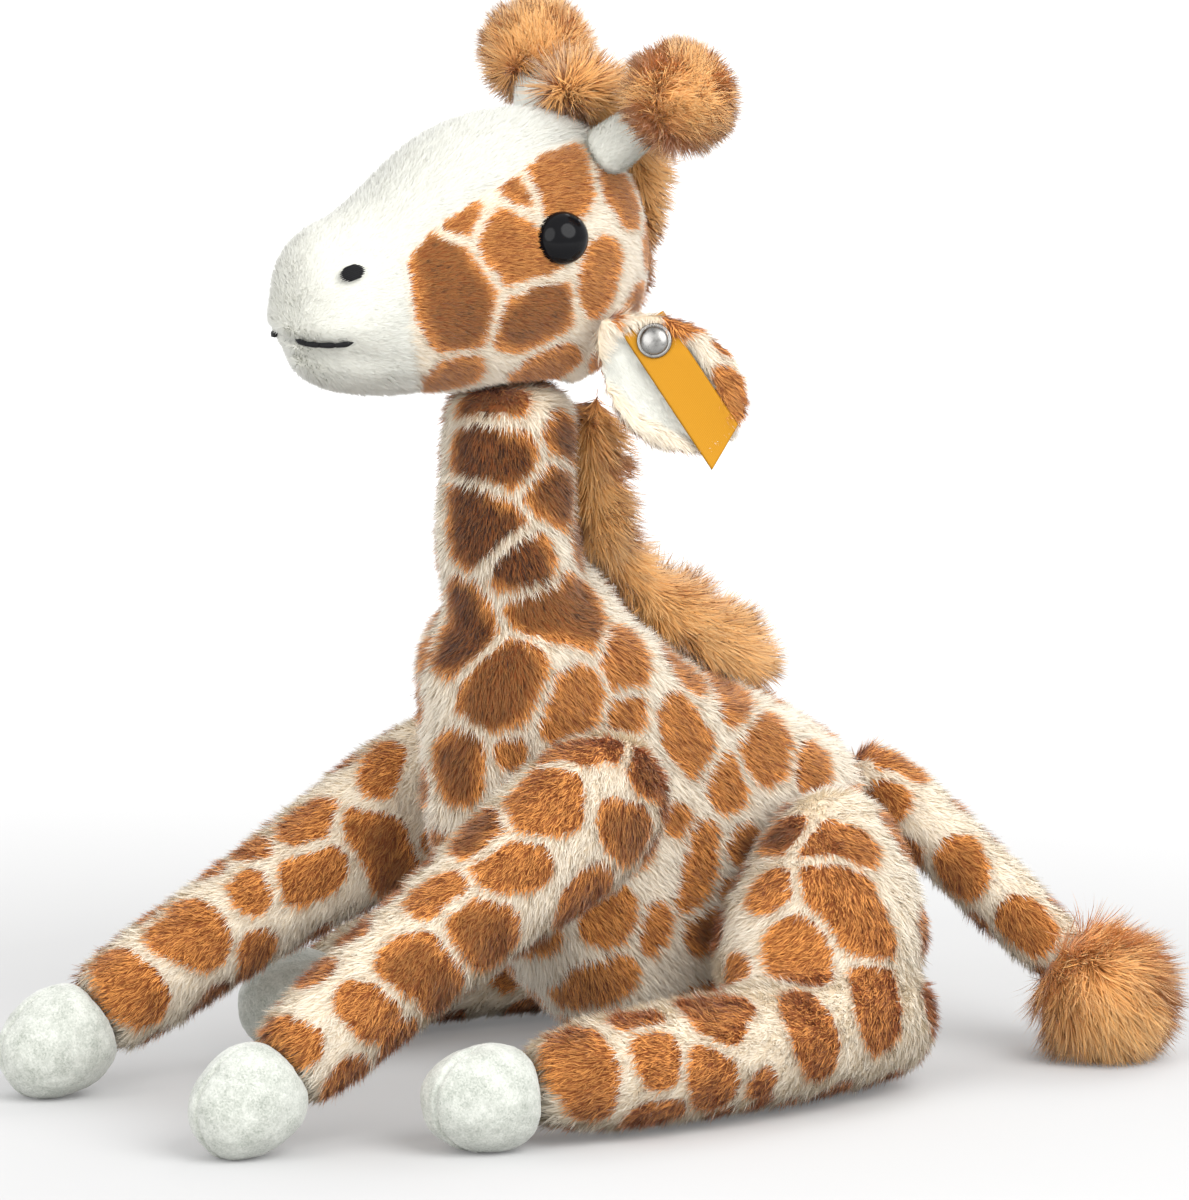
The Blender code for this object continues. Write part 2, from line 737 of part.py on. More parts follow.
# Bag of pellets low in the torso's stuffing, under the channel that it was filled by
bag_centre = Vector((0, BAG_SHARE * TORSO_LENGTH, BAG_LIFT + BAG_HEIGHT / 2))
bag_radii = [size / 2 for size in (BAG_WIDTH, BAG_LENGTH, BAG_HEIGHT)]
put("pellet_bag", ball(bag_centre, bag_radii, SMALL_SEGMENTS), root, pellets)
bag_pocket = ball(bag_centre, [radius + SEAM_GAP for radius in bag_radii], SMALL_SEGMENTS)
carve(torso, put("bag_pocket", bag_pocket, root))
channel_length = (neck_pivot - bag_centre).length
channel = rod(STUFFING_CHANNEL_RADIUS, 0, channel_length)
carve(torso, put("stuffing_channel", facing(channel, bag_centre, neck_pivot - bag_centre), root))

# Neck: a column on the ball that leans in the torso, with a dome that the head turns on
neck = stuffed("neck", neck_form(), neck_joint, spotted)
carve(neck, put("neck_ball", ball(neck_pivot, neck_ball_radii, BALL_SEGMENTS), neck_joint), "UNION")
carve(neck, put("neck_dome", ball(neck_top, dome_radii, BALL_SEGMENTS, "Z"), neck_joint), "UNION")

# Manes, crest and their seats
neck_mane = stuffed("neck_mane", mane_form(), neck_joint, rust)
carve(neck_mane, stuffed("neck_seam", neck_form(), neck_joint, None, SEAM_GAP))
carve(neck_mane, neck_socket)
withers_mane = stuffed("withers_mane", withers_form(), root, rust)
carve(withers_mane, torso_clearance)
carve(withers_mane, neck_socket)

# Head and muzzle, sewn together at one seam
head = stuffed("head", head_form(), head_joint, spotted)
carve(head, beyond("head_front", (0, muzzle_seam + SEAM_GAP / 2, 0), (0, -1, 0), head_joint))
carve(head, neck_dome_socket)
carve(head, neck_clearance)
muzzle = stuffed("muzzle", head_form(), head_joint, cream)
carve(muzzle, beyond("muzzle_back", (0, muzzle_seam - SEAM_GAP / 2, 0), (0, 1, 0), head_joint))
crest = stuffed("crest", crest_form(), head_joint, rust)
carve(crest, head_clearance)


def quarter_arc():
    """Points of a quarter of the unit circle, from the axis out to the rim."""
    turns = [math.pi / 2 * step / ARC_STEPS for step in range(ARC_STEPS + 1)]
    return [(0.0, 1.0)] + [(math.sin(turn), math.cos(turn)) for turn in turns[1:]]


def eye_profile(gap=0.0):
    """Down the outside of an eye: its dome, its flat back and its shank."""
    rim = EYE_DIAMETER / 2 + gap
    shank = EYE_SHANK_RADIUS + gap
    dome = [(rim * across, (EYE_DOME + gap) * up) for across, up in quarter_arc()]
    return dome + [(shank, -gap), (shank, -EYE_SHANK_LENGTH - gap), (0, -EYE_SHANK_LENGTH - gap)]


def washer_profile(gap=0.0):
    """Down the outside of a washer and up its bore, round the shank."""
    outer = WASHER_RADIUS + gap
    bore = EYE_SHANK_RADIUS + SEAM_GAP - gap
    top = WASHER_THICKNESS / 2 + gap
    return [(bore, top), (outer, top), (outer, -top), (bore, -top), (bore, top)]


def fit_eye(side, sign):
    """A domed eye on its shank, held behind the skin by a washer."""
    start = head_point(*EYE_START_SHARES)
    place, _ = surface(head_clearance, head_joint, start, mirrored(EYE_TOWARD_SHARES, sign))
    toward = mirrored(Vector(EYE_FACING_SHARES).normalized(), sign)
    seat = place - toward * EYE_SUNK
    turned(side + "_eye", eye_profile(), seat, toward, head_joint, eye_gloss, BALL_SEGMENTS)
    socket = turned(side + "_eye_seat", eye_profile(SEAM_GAP), seat, toward, head_joint, None, BALL_SEGMENTS)
    carve(head, socket)
    washer_place = seat - toward * WASHER_DEPTH
    turned(side + "_eye_washer", washer_profile(), washer_place, toward, head_joint, washer_plastic)
    pocket = rod(WASHER_RADIUS + SEAM_GAP, -WASHER_THICKNESS, WASHER_THICKNESS)
    carve(head, put(side + "_washer_pocket", facing(pocket, washer_place, toward), head_joint))


def fit_nostril(side, sign):
    """An oval of satin stitch let into the muzzle."""
    start = head_point(*NOSTRIL_START_SHARES)
    place, normal = surface(head_clearance, head_joint, start, mirrored(NOSTRIL_TOWARD_SHARES, sign))
    for name, gap, colour in (("_nostril", 0, thread), ("_nostril_seat", SEAM_GAP, None)):
        radii = [size / 2 + gap for size in (NOSTRIL_WIDTH, NOSTRIL_LENGTH, NOSTRIL_THICKNESS)]
        oval = facing(ball((0, 0, 0), radii, SMALL_SEGMENTS, "Z"), place, normal)
        made = put(side + name, oval, head_joint, colour)
    carve(muzzle, made)


def fit_mouth(side, sign):
    """A line of stitches round one side of the muzzle."""
    start = head_point(*MOUTH_START_SHARES)
    line = []
    for turn_share in MOUTH_TURN_SHARES:
        turn = turn_share * math.pi / 2
        toward = Vector((sign * math.sin(turn), -math.cos(turn), 0))
        line.append(surface(head_clearance, head_joint, start, toward)[0])
    for name, radius, colour in (
        ("_mouth_stitch", MOUTH_THREAD / 2, thread),
        ("_mouth_groove", MOUTH_THREAD / 2 + SEAM_GAP, None),
    ):
        made = cord(side + name, line, radius, head_joint, colour)
    carve(muzzle, made)


def cord(name, line, radius, holder, material=None):
    """A thread laid along points, as a mesh with closed ends."""
    curve = bpy.data.curves.new(name, "CURVE")
    curve.dimensions = "3D"
    curve.bevel_depth = radius
    curve.bevel_resolution = 1
    curve.use_fill_caps = True
    spline = curve.splines.new("POLY")
    spline.points.add(len(line) - 1)
    for point, place in zip(spline.points, line):
        point.co = (*place, 1)
    guide = bpy.data.objects.new(name + "_guide", curve)
    cutters.objects.link(guide)
    bpy.context.view_layer.update()
    graph = bpy.context.evaluated_depsgraph_get()
    mesh = bpy.data.meshes.new_from_object(guide.evaluated_get(graph))
    bpy.data.objects.remove(guide)
    shape = bmesh.new()
    shape.from_mesh(mesh)
    bmesh.ops.remove_doubles(shape, verts=shape.verts, dist=MERGE)
    return put(name, shape, holder, material)


def fit_horn(side, sign):
    """A leaning horn stalk with a ball of long pile on its tip."""
    length, height, width = HORN_FOOT_SHARES
    foot = mirrored(head_point(length, height, width), sign)
    lean = mirrored(Vector(HORN_LEAN_SHARES[side]).normalized(), sign)
    tip = foot + lean * HORN_LENGTH
    stalk = facing(rod(HORN_BASE_RADIUS, -OVERRUN, HORN_LENGTH, top_radius=HORN_TIP_RADIUS), foot, lean)
    horn = put(side + "_horn", stalk, head_joint, cream)
    carve(horn, head_clearance)
    tuft_radii = [HORN_TUFT_RADIUS] * 3
    tuft = put(side + "_horn_tuft", ball(tip, tuft_radii, SMALL_SEGMENTS), head_joint, rust)
    grown = rod(
        HORN_BASE_RADIUS + SEAM_GAP,
        -OVERRUN,
        HORN_LENGTH + SEAM_GAP,
        top_radius=HORN_TIP_RADIUS + SEAM_GAP,
    )
    carve(tuft, put(side + "_horn_clearance", facing(grown, foot, lean), head_joint))


for side, sign in SIDES:
    fit_eye(side, sign)
    fit_nostril(side, sign)
    fit_mouth(side, sign)
    fit_horn(side, sign)


def fit_ear(side, sign):
    """A hanging ear: the spotted leaf and the pale lining sewn to its front."""
    start = head_point(*EAR_START_SHARES)
    place, _ = surface(head_clearance, head_joint, start, mirrored(EAR_OUTWARD_SHARES, sign))
    ear_root[sign] = place + Vector((sign * EAR_STANDOFF, 0, 0))
    ear_joint = joint_empty(side + "_ear_joint", ear_root[sign], head_joint)
    _, facing_out, _ = ear_frame(sign)
    split = (EAR_THICKNESS - EAR_LINING_THICKNESS) / 2
    ear = stuffed(side + "_ear", ear_form(sign), ear_joint, spotted)
    seam = ear_root[sign] + facing_out * split
    carve(ear, beyond(side + "_ear_front", seam, facing_out, ear_joint))
    lining = stuffed(side + "_ear_lining", ear_form(sign, EAR_LINING_MARGIN), ear_joint, cream)
    lining_back = seam + facing_out * SEAM_GAP
    carve(lining, beyond(side + "_ear_back", lining_back, -facing_out, ear_joint))
    return ear, lining, ear_joint


def fit_tag(sign, ear, lining, ear_joint):
    """A ribbon on the ear's lining, held by a domed stud whose shank is clinched behind the ear."""
    along, facing_out, across = ear_frame(sign)
    half_thickness = (EAR_THICKNESS + EAR_LINING_THICKNESS) / 2
    on_ear = ear_root[sign] + along * STUD_ALONG_SHARE * EAR_LENGTH + across * STUD_ACROSS_SHARE * EAR_WIDTH
    tag_back = on_ear + facing_out * (half_thickness + SEAM_GAP)
    tag_joint = joint_empty("ear_tag_joint", tag_back, ear_joint)
    turn = Matrix.Rotation(TAG_TURN_SHARE * math.pi, 3, facing_out)
    along_tag = turn @ along
    across_tag = turn @ across
    strip = block(
        (-TAG_START_SHARE * TAG_LENGTH, -TAG_WIDTH / 2, 0),
        ((1 - TAG_START_SHARE) * TAG_LENGTH, TAG_WIDTH / 2, TAG_THICKNESS),
    )
    frame = Matrix((along_tag, across_tag, facing_out)).transposed().to_4x4()
    bmesh.ops.transform(strip, matrix=Matrix.Translation(tag_back) @ frame, verts=strip.verts)
    tag = put("ear_tag", strip, tag_joint, ribbon)
    stud_seat = tag_back + facing_out * (TAG_THICKNESS + SEAM_GAP)
    layers = EAR_THICKNESS + EAR_LINING_THICKNESS + TAG_THICKNESS + STUD_BACK_THICKNESS
    shank_length = layers + SHANK_GAPS * SEAM_GAP
    dome = [(STUD_RADIUS * across, STUD_DOME * up) for across, up in quarter_arc()]
    shank = [(STUD_SHANK_RADIUS, 0), (STUD_SHANK_RADIUS, -shank_length), (0, -shank_length)]
    turned("ear_stud", dome + shank, stud_seat, facing_out, ear_joint, plated, BALL_SEGMENTS)
    bore = STUD_SHANK_RADIUS + SEAM_GAP
    hole = facing(rod(bore, -shank_length - OVERRUN, OVERRUN), stud_seat, facing_out)
    stud_hole = put("stud_hole", hole, ear_joint)
    for layer in (tag, ear, lining):
        carve(layer, stud_hole)
    back = STUD_BACK_THICKNESS / 2
    disc = [(bore, back), (STUD_BACK_RADIUS, back), (STUD_BACK_RADIUS, -back), (bore, -back), (bore, back)]
    behind = on_ear - facing_out * (half_thickness + SEAM_GAP + back)
    turned("ear_stud_back", disc, behind, facing_out, ear_joint, plated)


for side, sign in SIDES:
    ear_pieces = fit_ear(side, sign)
    if side == "left":
        fit_tag(sign, *ear_pieces)

# Legs, each with its hoof sewn on at a flat seam
for side, sign in SIDES:
    shoulder_joint = joint_empty(side + "_shoulder_joint", shoulder[sign], root)
    inner_cut = beyond(side + "_inner_leg", (sign * leg_flank, 0, 0), (-sign, 0, 0), root)
    front_leg = stuffed(side + "_front_leg", front_leg_form(side, sign), shoulder_joint, spotted)
    carve(front_leg, inner_cut)
    along = (front_hoof[sign] - shoulder[sign]).normalized()
    seam = front_hoof[sign] - along * HOOF_LENGTH / 2
    carve(front_leg, beyond(side + "_front_leg_end", seam, along, shoulder_joint))
    carve(front_leg, floor)
    front = stuffed(side + "_front_hoof", hoof_form(seam, along), shoulder_joint, suede)
    carve(front, beyond(side + "_front_hoof_end", seam + along * SEAM_GAP, -along, shoulder_joint))
    carve(front, floor)

    hip_joint = joint_empty(side + "_hip_joint", hip[sign], root)
    knee_joint = joint_empty(side + "_knee_joint", knee[sign], hip_joint)
    lower_clearance = stuffed(side + "_leg_clearance", hind_leg_form(side, sign), knee_joint, None, TURN_GAP)
    haunch = stuffed(side + "_haunch", haunch_form(sign), hip_joint, spotted)
    carve(haunch, inner_cut)
    cuff = Vector((0, 0, KNEE_RADIUS * HAUNCH_CUFF_SHARE))
    carve(haunch, beyond(side + "_haunch_foot", knee[sign] + cuff, (0, 0, -1), hip_joint))
    knee_radii = [KNEE_RADIUS + TURN_GAP] * 3
    carve(haunch, put(side + "_knee_socket", ball(knee[sign], knee_radii, BALL_SEGMENTS), hip_joint))
    carve(haunch, lower_clearance)

    lower = stuffed(side + "_hind_leg", hind_leg_form(side, sign), knee_joint, spotted)
    seam_share = hind_seam_share(side)
    seam = hind_leg_point(side, sign, seam_share)
    toe = hind_leg_point(side, sign, 1)
    seam.z = toe.z = HIND_HOOF_HEIGHT
    along = (toe - seam).normalized()
    carve(lower, beyond(side + "_hind_leg_end", seam, along, knee_joint))
    carve(lower, floor)
    hind = stuffed(side + "_hind_hoof", hoof_form(seam, along), knee_joint, suede)
    carve(hind, beyond(side + "_hind_hoof_end", seam + along * SEAM_GAP, -along, knee_joint))
    carve(hind, floor)

# Tail with its tuft resting on the floor
tail = stuffed("tail", tail_form(), tail_joint, spotted)
carve(tail, floor)
tuft = stuffed("tail_tuft", tuft_form(), tail_joint, rust)
carve(tuft, stuffed("tail_seam", tail_form(), tail_joint, None, TURN_GAP))
carve(tuft, floor)

# The whole toy is centred over the origin
bpy.context.view_layer.update()
graph = bpy.context.evaluated_depsgraph_get()
corners = []
for piece in parts.objects:
    if piece.type == "MESH":
        evaluated = piece.evaluated_get(graph)
        corners += [evaluated.matrix_world @ Vector(corner) for corner in evaluated.bound_box]
for axis in (0, 1):
    values = [corner[axis] for corner in corners]
    root.location[axis] = -(min(values) + max(values)) / 2
bpy.context.view_layer.update()
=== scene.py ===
"""Dressed plush giraffe: spotted coat, manes, tufts, suede hooves, glossy eyes, ears and a blank ribbon.

Metres, Z up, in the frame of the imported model. The toy faces -Y and its left side is +X.
Places on the coat that are read from the photograph are pixels of its 1189 x 1200 frame.
"""

import logging
import math
from dataclasses import dataclass, field
from enum import Enum
from typing import Callable, Iterable, Sequence

import bmesh
import bpy
import numpy as np
from bmesh.types import BMesh
from bpy.types import Material, Mesh, Node, NodeTree, Object
from bpy.types import NodeSocket as Socket
from mathutils import Matrix, Vector
from mathutils import noise as lumpy
from mathutils.bvhtree import BVHTree


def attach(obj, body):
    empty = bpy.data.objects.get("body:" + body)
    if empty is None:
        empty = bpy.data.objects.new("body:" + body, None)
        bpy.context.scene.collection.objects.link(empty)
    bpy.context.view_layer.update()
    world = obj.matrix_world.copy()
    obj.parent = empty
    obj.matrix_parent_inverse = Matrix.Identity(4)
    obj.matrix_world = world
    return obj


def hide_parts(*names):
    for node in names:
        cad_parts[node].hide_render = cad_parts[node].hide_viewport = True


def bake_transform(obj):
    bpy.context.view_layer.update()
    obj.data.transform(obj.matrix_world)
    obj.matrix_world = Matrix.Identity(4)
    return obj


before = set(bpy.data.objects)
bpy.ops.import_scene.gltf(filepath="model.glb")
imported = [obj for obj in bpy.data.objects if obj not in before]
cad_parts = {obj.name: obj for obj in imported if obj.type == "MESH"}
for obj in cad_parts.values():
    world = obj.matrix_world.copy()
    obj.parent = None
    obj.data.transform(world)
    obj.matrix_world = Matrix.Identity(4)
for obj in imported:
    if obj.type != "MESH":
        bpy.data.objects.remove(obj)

logging.basicConfig(level=logging.INFO, format="%(message)s")
log = logging.getLogger("giraffe")

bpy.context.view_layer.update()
MM = 0.001
FAR = 1.0
TINY = 1e-9
MIDDLE = -1.39 * MM
MIDLINE = -1.4 * MM
SIDES = (("left", 1), ("right", -1))
Array = np.ndarray
Place = tuple[float, float, float]
Disc = tuple[float, float, float]
Patch = tuple[Disc, ...]
Range = tuple[float, float]
Tubes = tuple[tuple[Array, float], ...]

# Photograph and camera
PHOTO_WIDTH = 1189
PHOTO_HEIGHT = 1200
CAMERA_AZIMUTH = math.radians(58.5)
CAMERA_ELEVATION = math.radians(10.4)
CAMERA_DISTANCE = 5.0
CAMERA_LENS = 584.4
CAMERA_SENSOR = 36.0
CAMERA_AIM = Vector((-0.0004, 0.0054, 0.1236))
PIXEL = 0.2567 * MM

# Cloth and pile
WELD = 0.001 * MM
FLOOR_CLEARANCE = 0.2 * MM
CLOTH_CLEARANCE = 0.6 * MM
CLOTH_QUALITY = 4
CLOTH_PRESSURE = 4.0
CLOTH_FRAMES = 20
CLOTH_CAP_SHARE = 2.0
FLOOR_REACH = 0.45
FLOOR_REACH_HEIGHT = 4 * MM
NORMAL_STRAY = 0.18
NORMAL_COMB = 0.15
NOISE_GAIN = 4.0
SWIRL_SIZE = 9 * MM
FRAY_GROWTH = 0.7
FRAY_INNER = 12 * MM
FRAY_OUTER = 26 * MM

# Stitches and cores
CORE_SIDES = 16
TUBE_END_STEPS = 3
TUBE_TIP = 0.35
STITCH_STEPS = 6
THREAD_SPOTS = 9
TRIM_FADE = 0.8
SWIRL_SEEDS = (1.0, 5.0, 9.0)

# Strands of the pile, and their cells of the baking map
STRAND_LENGTHS = (0.66, 1.22)
STRAND_WIDTHS = (0.75, 1.3)
CELL_SIDE = (0.2, 0.6)
CELL_END = (0.15, 0.7)
BAKE_MAP = "OFBake"

# Patches of the coat
PATCH_SHIFT = 0.35
PATCH_SWELL = 1.25
PATCH_GROWTH = 1.9 * MM
PATCH_GAP = 2.1 * MM
SHUT_OFF_GAP = 3 * MM
PATCH_MELT = 1.6 * MM
HIDDEN_SOOT = (0.2, 0.8)
HIDDEN_SHARE = 0.10
HIDDEN_SIZES = (0.62, 0.90)
HIDDEN_DISCS = (0.75, 0.95)
HIDDEN_STRETCH = 0.45
WIDEST_SHARE = 0.45
ROOM_SHARE = 0.40
MOST_PATCHES = 90
EDGE_RIPPLE = 0.55 * MM
EDGE_LUMPS = 4.5 * MM
FINE_RIPPLE_SHARE = 0.6
FINE_LUMPS = 2 * MM
EDGE_SOFT = 0.8 * MM
SOOT_FADE = (-4.5 * MM, -0.8 * MM)
HALO = 2.2 * MM

# How strands are coloured: by the share along them, which paints shade towards the roots, by chance, and by
# locks of them
FLECKS = 0.40
FLECK_CHANCE = 1.6
LOCK_SIZE = 2.2 * MM
LOCK_NOISE = (0.35, 0.65)
LOCK_LIFT = 0.22
PATCH_WARMTH = 0.22
# How far patch strands lighten from root to tip: painted shade at the roots
PATCH_ROOT_SHADE = 0.50
PATCH_CHANCE = 1.3
SOOT_LEVEL = 0.75
SOOT_CHANCE = 1.1
EDGE_CHANCE = 0.5
EDGE_CONTRAST = 4.0
MANE_WARMTH = 0.1
# How fast long strands lighten from root to tip: painted shade at the roots
MANE_ROOT_SHADE = 2.2
MANE_CHANCE = 0.7
TIP_POWER = 2.5
TIP_LEVEL = 0.75
STALK_CHANCE = 0.5

# Grains of the other surfaces
SUEDE_NAP = 0.55 * MM
SUEDE_CLOUDS = 5 * MM
SUEDE_SPECKS = 1.1 * MM
METAL_SPOTS = 1.2 * MM
EYE_CLOUDS = 3 * MM
PLASTIC_GRAIN = 0.8 * MM
THREAD_PLIES = 0.35 * MM
BAG_WEAVE = 350.0


def midline(*rows: tuple[float, float]) -> tuple[Place, ...]:
    """Places on the toy's middle plane, from rows of (y, z)."""
    return tuple((MIDLINE, y, z) for y, z in rows)


# Paths that the pile is combed along
TRUNK_PATH = midline((-0.020, 0.190), (-0.010, 0.130), (0.020, 0.080), (0.070, 0.020))
HEAD_PATH = midline((-0.090, 0.205), (-0.040, 0.225), (0.010, 0.215), (0.020, 0.185))
MANE_PATH = midline(
    (0.0071, 0.180), (0.0060, 0.160), (0.0080, 0.143), (0.0150, 0.131), (0.0260, 0.119), (0.0410, 0.107)
)
CREST_PATH = midline((-0.006, 0.262), (0.012, 0.250), (0.022, 0.225), (0.018, 0.190))
FRONT_PATH = {
    "left": ((0.037, -0.005, 0.095), (0.040, -0.040, 0.060), (0.043, -0.090, 0.030), (0.0435, -0.124, 0.013)),
    "right": (
        (-0.039, -0.005, 0.090), (-0.042, -0.045, 0.055), (-0.045, -0.095, 0.027), (-0.0463, -0.128, 0.013),
    ),
}
HIND_PATH = {
    "left": ((0.045, 0.060, 0.075), (0.052, 0.066, 0.035), (0.056, 0.045, 0.018), (0.069, -0.070, 0.013)),
    "right": (
        (-0.048, 0.060, 0.075), (-0.055, 0.066, 0.035), (-0.060, 0.045, 0.018), (-0.0604, -0.049, 0.013),
    ),
}
TAIL_PATH = (
    (MIDLINE, 0.090, 0.070), (0.010, 0.105, 0.060), (0.025, 0.115, 0.045), (0.040, 0.122, 0.028),
    (0.056, 0.130, 0.010),
)

# Where things stand on the head, and how they lean
HORN_LEAN = {"left": (0.70, 0.40, 0.59), "right": (-0.60, 0.34, 0.72)}
EYE_PLACE = {"left": (0.0283, -0.0209, 0.2242), "right": (-0.0311, -0.0209, 0.2242)}
EYE_AXIS = (0.93, -0.30, 0.20)
EAR_OPENING = (0.77, -0.58, 0.26)
MUZZLE_MIDDLE = (MIDDLE, -0.060, 0.205)


class Slot(Enum):
    """Material slots of the record."""

    SPOTTED = "spotted_plush"
    CREAM = "cream_plush"
    RUST = "rust_long_pile"
    SUEDE = "hoof_suede"
    RIBBON = "yellow_ribbon"
    EYE = "eye_gloss"
    WASHER = "washer_plastic"
    THREAD = "black_thread"
    METAL = "plated_metal"
    PELLETS = "pellet_bag_cloth"


class Tone(Enum):
    """Linear colours of the toy."""

    CREAM = (0.98, 0.91, 0.79)
    # Colour of the cream pile's roots, of the cloth under the pile and of the bag's weave hollows: painted
    # shade
    CREAM_DEEP = (0.90, 0.78, 0.60)
    WHITE = (0.79, 0.795, 0.735)
    # Colour of the pale pile's roots and of the cloth under it: painted shade
    WHITE_DEEP = (0.745, 0.74, 0.675)
    FLECK = (0.46, 0.33, 0.20)
    CARAMEL = (0.98, 0.42, 0.105)
    # Patch colour at the roots and of some random strands: partly painted shade at the roots
    RUST = (0.30, 0.084, 0.017)
    SOOT = (0.050, 0.017, 0.008)
    MANE = (0.88, 0.42, 0.12)
    # Colour of the long pile's roots and of its core: painted shade
    MANE_DEEP = (0.46, 0.165, 0.04)
    MANE_TIP = (0.99, 0.76, 0.42)
    SUEDE = (0.52, 0.54, 0.49)
    SUEDE_SHADE = (0.30, 0.325, 0.28)
    RIBBON = (0.56, 0.275, 0.010)
    # Colour of the hollows between the ribbon's ribs: painted shade
    RIBBON_DEEP = (0.40, 0.165, 0.005)
    BLACK = (0.004, 0.004, 0.005)
    EYE_DEPTH = (0.005, 0.005, 0.006)
    THREAD = (0.008, 0.008, 0.009)
    PLASTIC_SHADE = (0.70, 0.70, 0.66)
    METAL = (0.34, 0.335, 0.32)
    METAL_SHADE = (0.17, 0.165, 0.16)


@dataclass(frozen=True)
class Finish:
    """What one kind of surface is made of.

    Attributes:
        slot: Material slot of the record that it belongs to.
        rough: Roughness of the surface.
        sheen: Weight of the sheen that loose fibres give.
        specular: Level of the gloss.
        metallic: 1 for metal.
        light: Colour of its raised or lit parts.
        dark: Colour of its deep or dulled parts: painted shade at pile roots and in hollows of weaves and
            reliefs, real dullness or mottling on metal and suede.
    """

    slot: Slot
    rough: float
    sheen: float
    specular: float
    light: Tone
    dark: Tone
    metallic: float = 0.0


SPOTTED = Finish(Slot.SPOTTED, 0.88, 0.25, 0.12, Tone.CREAM, Tone.CREAM_DEEP)
LONG_PILE = Finish(Slot.RUST, 0.80, 0.30, 0.15, Tone.MANE, Tone.MANE_DEEP)
PALE = Finish(Slot.CREAM, 0.90, 0.25, 0.12, Tone.WHITE, Tone.WHITE_DEEP)
SUEDE = Finish(Slot.SUEDE, 0.92, 0.35, 0.15, Tone.SUEDE, Tone.SUEDE_SHADE)
SATIN = Finish(Slot.RIBBON, 0.55, 0.0, 0.18, Tone.RIBBON, Tone.RIBBON_DEEP)
GLOSS = Finish(Slot.EYE, 0.12, 0.0, 0.13, Tone.EYE_DEPTH, Tone.BLACK)
PLASTIC = Finish(Slot.WASHER, 0.45, 0.0, 0.40, Tone.WHITE, Tone.PLASTIC_SHADE)
THREAD = Finish(Slot.THREAD, 0.60, 0.05, 0.12, Tone.THREAD, Tone.BLACK)
PLATED = Finish(Slot.METAL, 0.30, 0.0, 0.50, Tone.METAL, Tone.METAL_SHADE, 1.0)
BAG_CLOTH = Finish(Slot.PELLETS, 0.85, 0.20, 0.20, Tone.WHITE, Tone.CREAM_DEEP)


@dataclass(frozen=True)
class Coat:
    """How one kind of pile grows.

    Attributes:
        density: Strands per square millimetre.
        length: Strand length in metres.
        width: Strand width at the root in metres.
        lean: Share of the growing direction that follows the combing, from 0 to 1.
        jitter: Random part of the growing direction.
        sway: How far the direction drifts from place to place.
        drift: Size of those drifts in metres.
        gather: How far strands of one tuft lean to its middle.
        tuft: Size of a tuft in metres.
        curl: How far strands turn about themselves, which bends long ones all ways.
        seed: Seed of the strands' places.
    """

    density: float
    length: float
    width: float
    lean: float
    jitter: float
    sway: float
    drift: float
    gather: float
    tuft: float
    curl: float
    seed: int


BODY_COAT = Coat(5.0, 3.7 * MM, 0.31 * MM, 0.58, 0.20, 0.20, 6 * MM, 0.45, 2.4 * MM, 0.45, 11)
LEG_COAT = Coat(5.0, 3.6 * MM, 0.31 * MM, 0.60, 0.20, 0.20, 6 * MM, 0.45, 2.4 * MM, 0.45, 12)
FACE_COAT = Coat(9.5, 2.3 * MM, 0.22 * MM, 0.56, 0.14, 0.14, 5 * MM, 0.35, 1.8 * MM, 0.4, 13)
EAR_COAT = Coat(8.0, 3.4 * MM, 0.25 * MM, 0.72, 0.20, 0.24, 5 * MM, 0.45, 2.0 * MM, 0.4, 15)
STALK_COAT = Coat(10.0, 1.5 * MM, 0.20 * MM, 0.62, 0.15, 0.10, 5 * MM, 0.15, 1.2 * MM, 0.4, 21)
MANE_COAT = Coat(11.0, 10.0 * MM, 0.25 * MM, 0.62, 0.22, 0.50, 7 * MM, 0.60, 4.4 * MM, 0.8, 17)
CREST_COAT = Coat(11.0, 9.5 * MM, 0.25 * MM, 0.58, 0.24, 0.50, 7 * MM, 0.60, 4.2 * MM, 0.8, 18)
HORN_COAT = Coat(15.0, 6.6 * MM, 0.23 * MM, 0.62, 0.26, 0.45, 5 * MM, 0.70, 4.2 * MM, 0.8, 19)
TUFT_COAT = Coat(11.0, 11.5 * MM, 0.27 * MM, 0.80, 0.20, 0.40, 8 * MM, 0.70, 5.5 * MM, 0.8, 20)


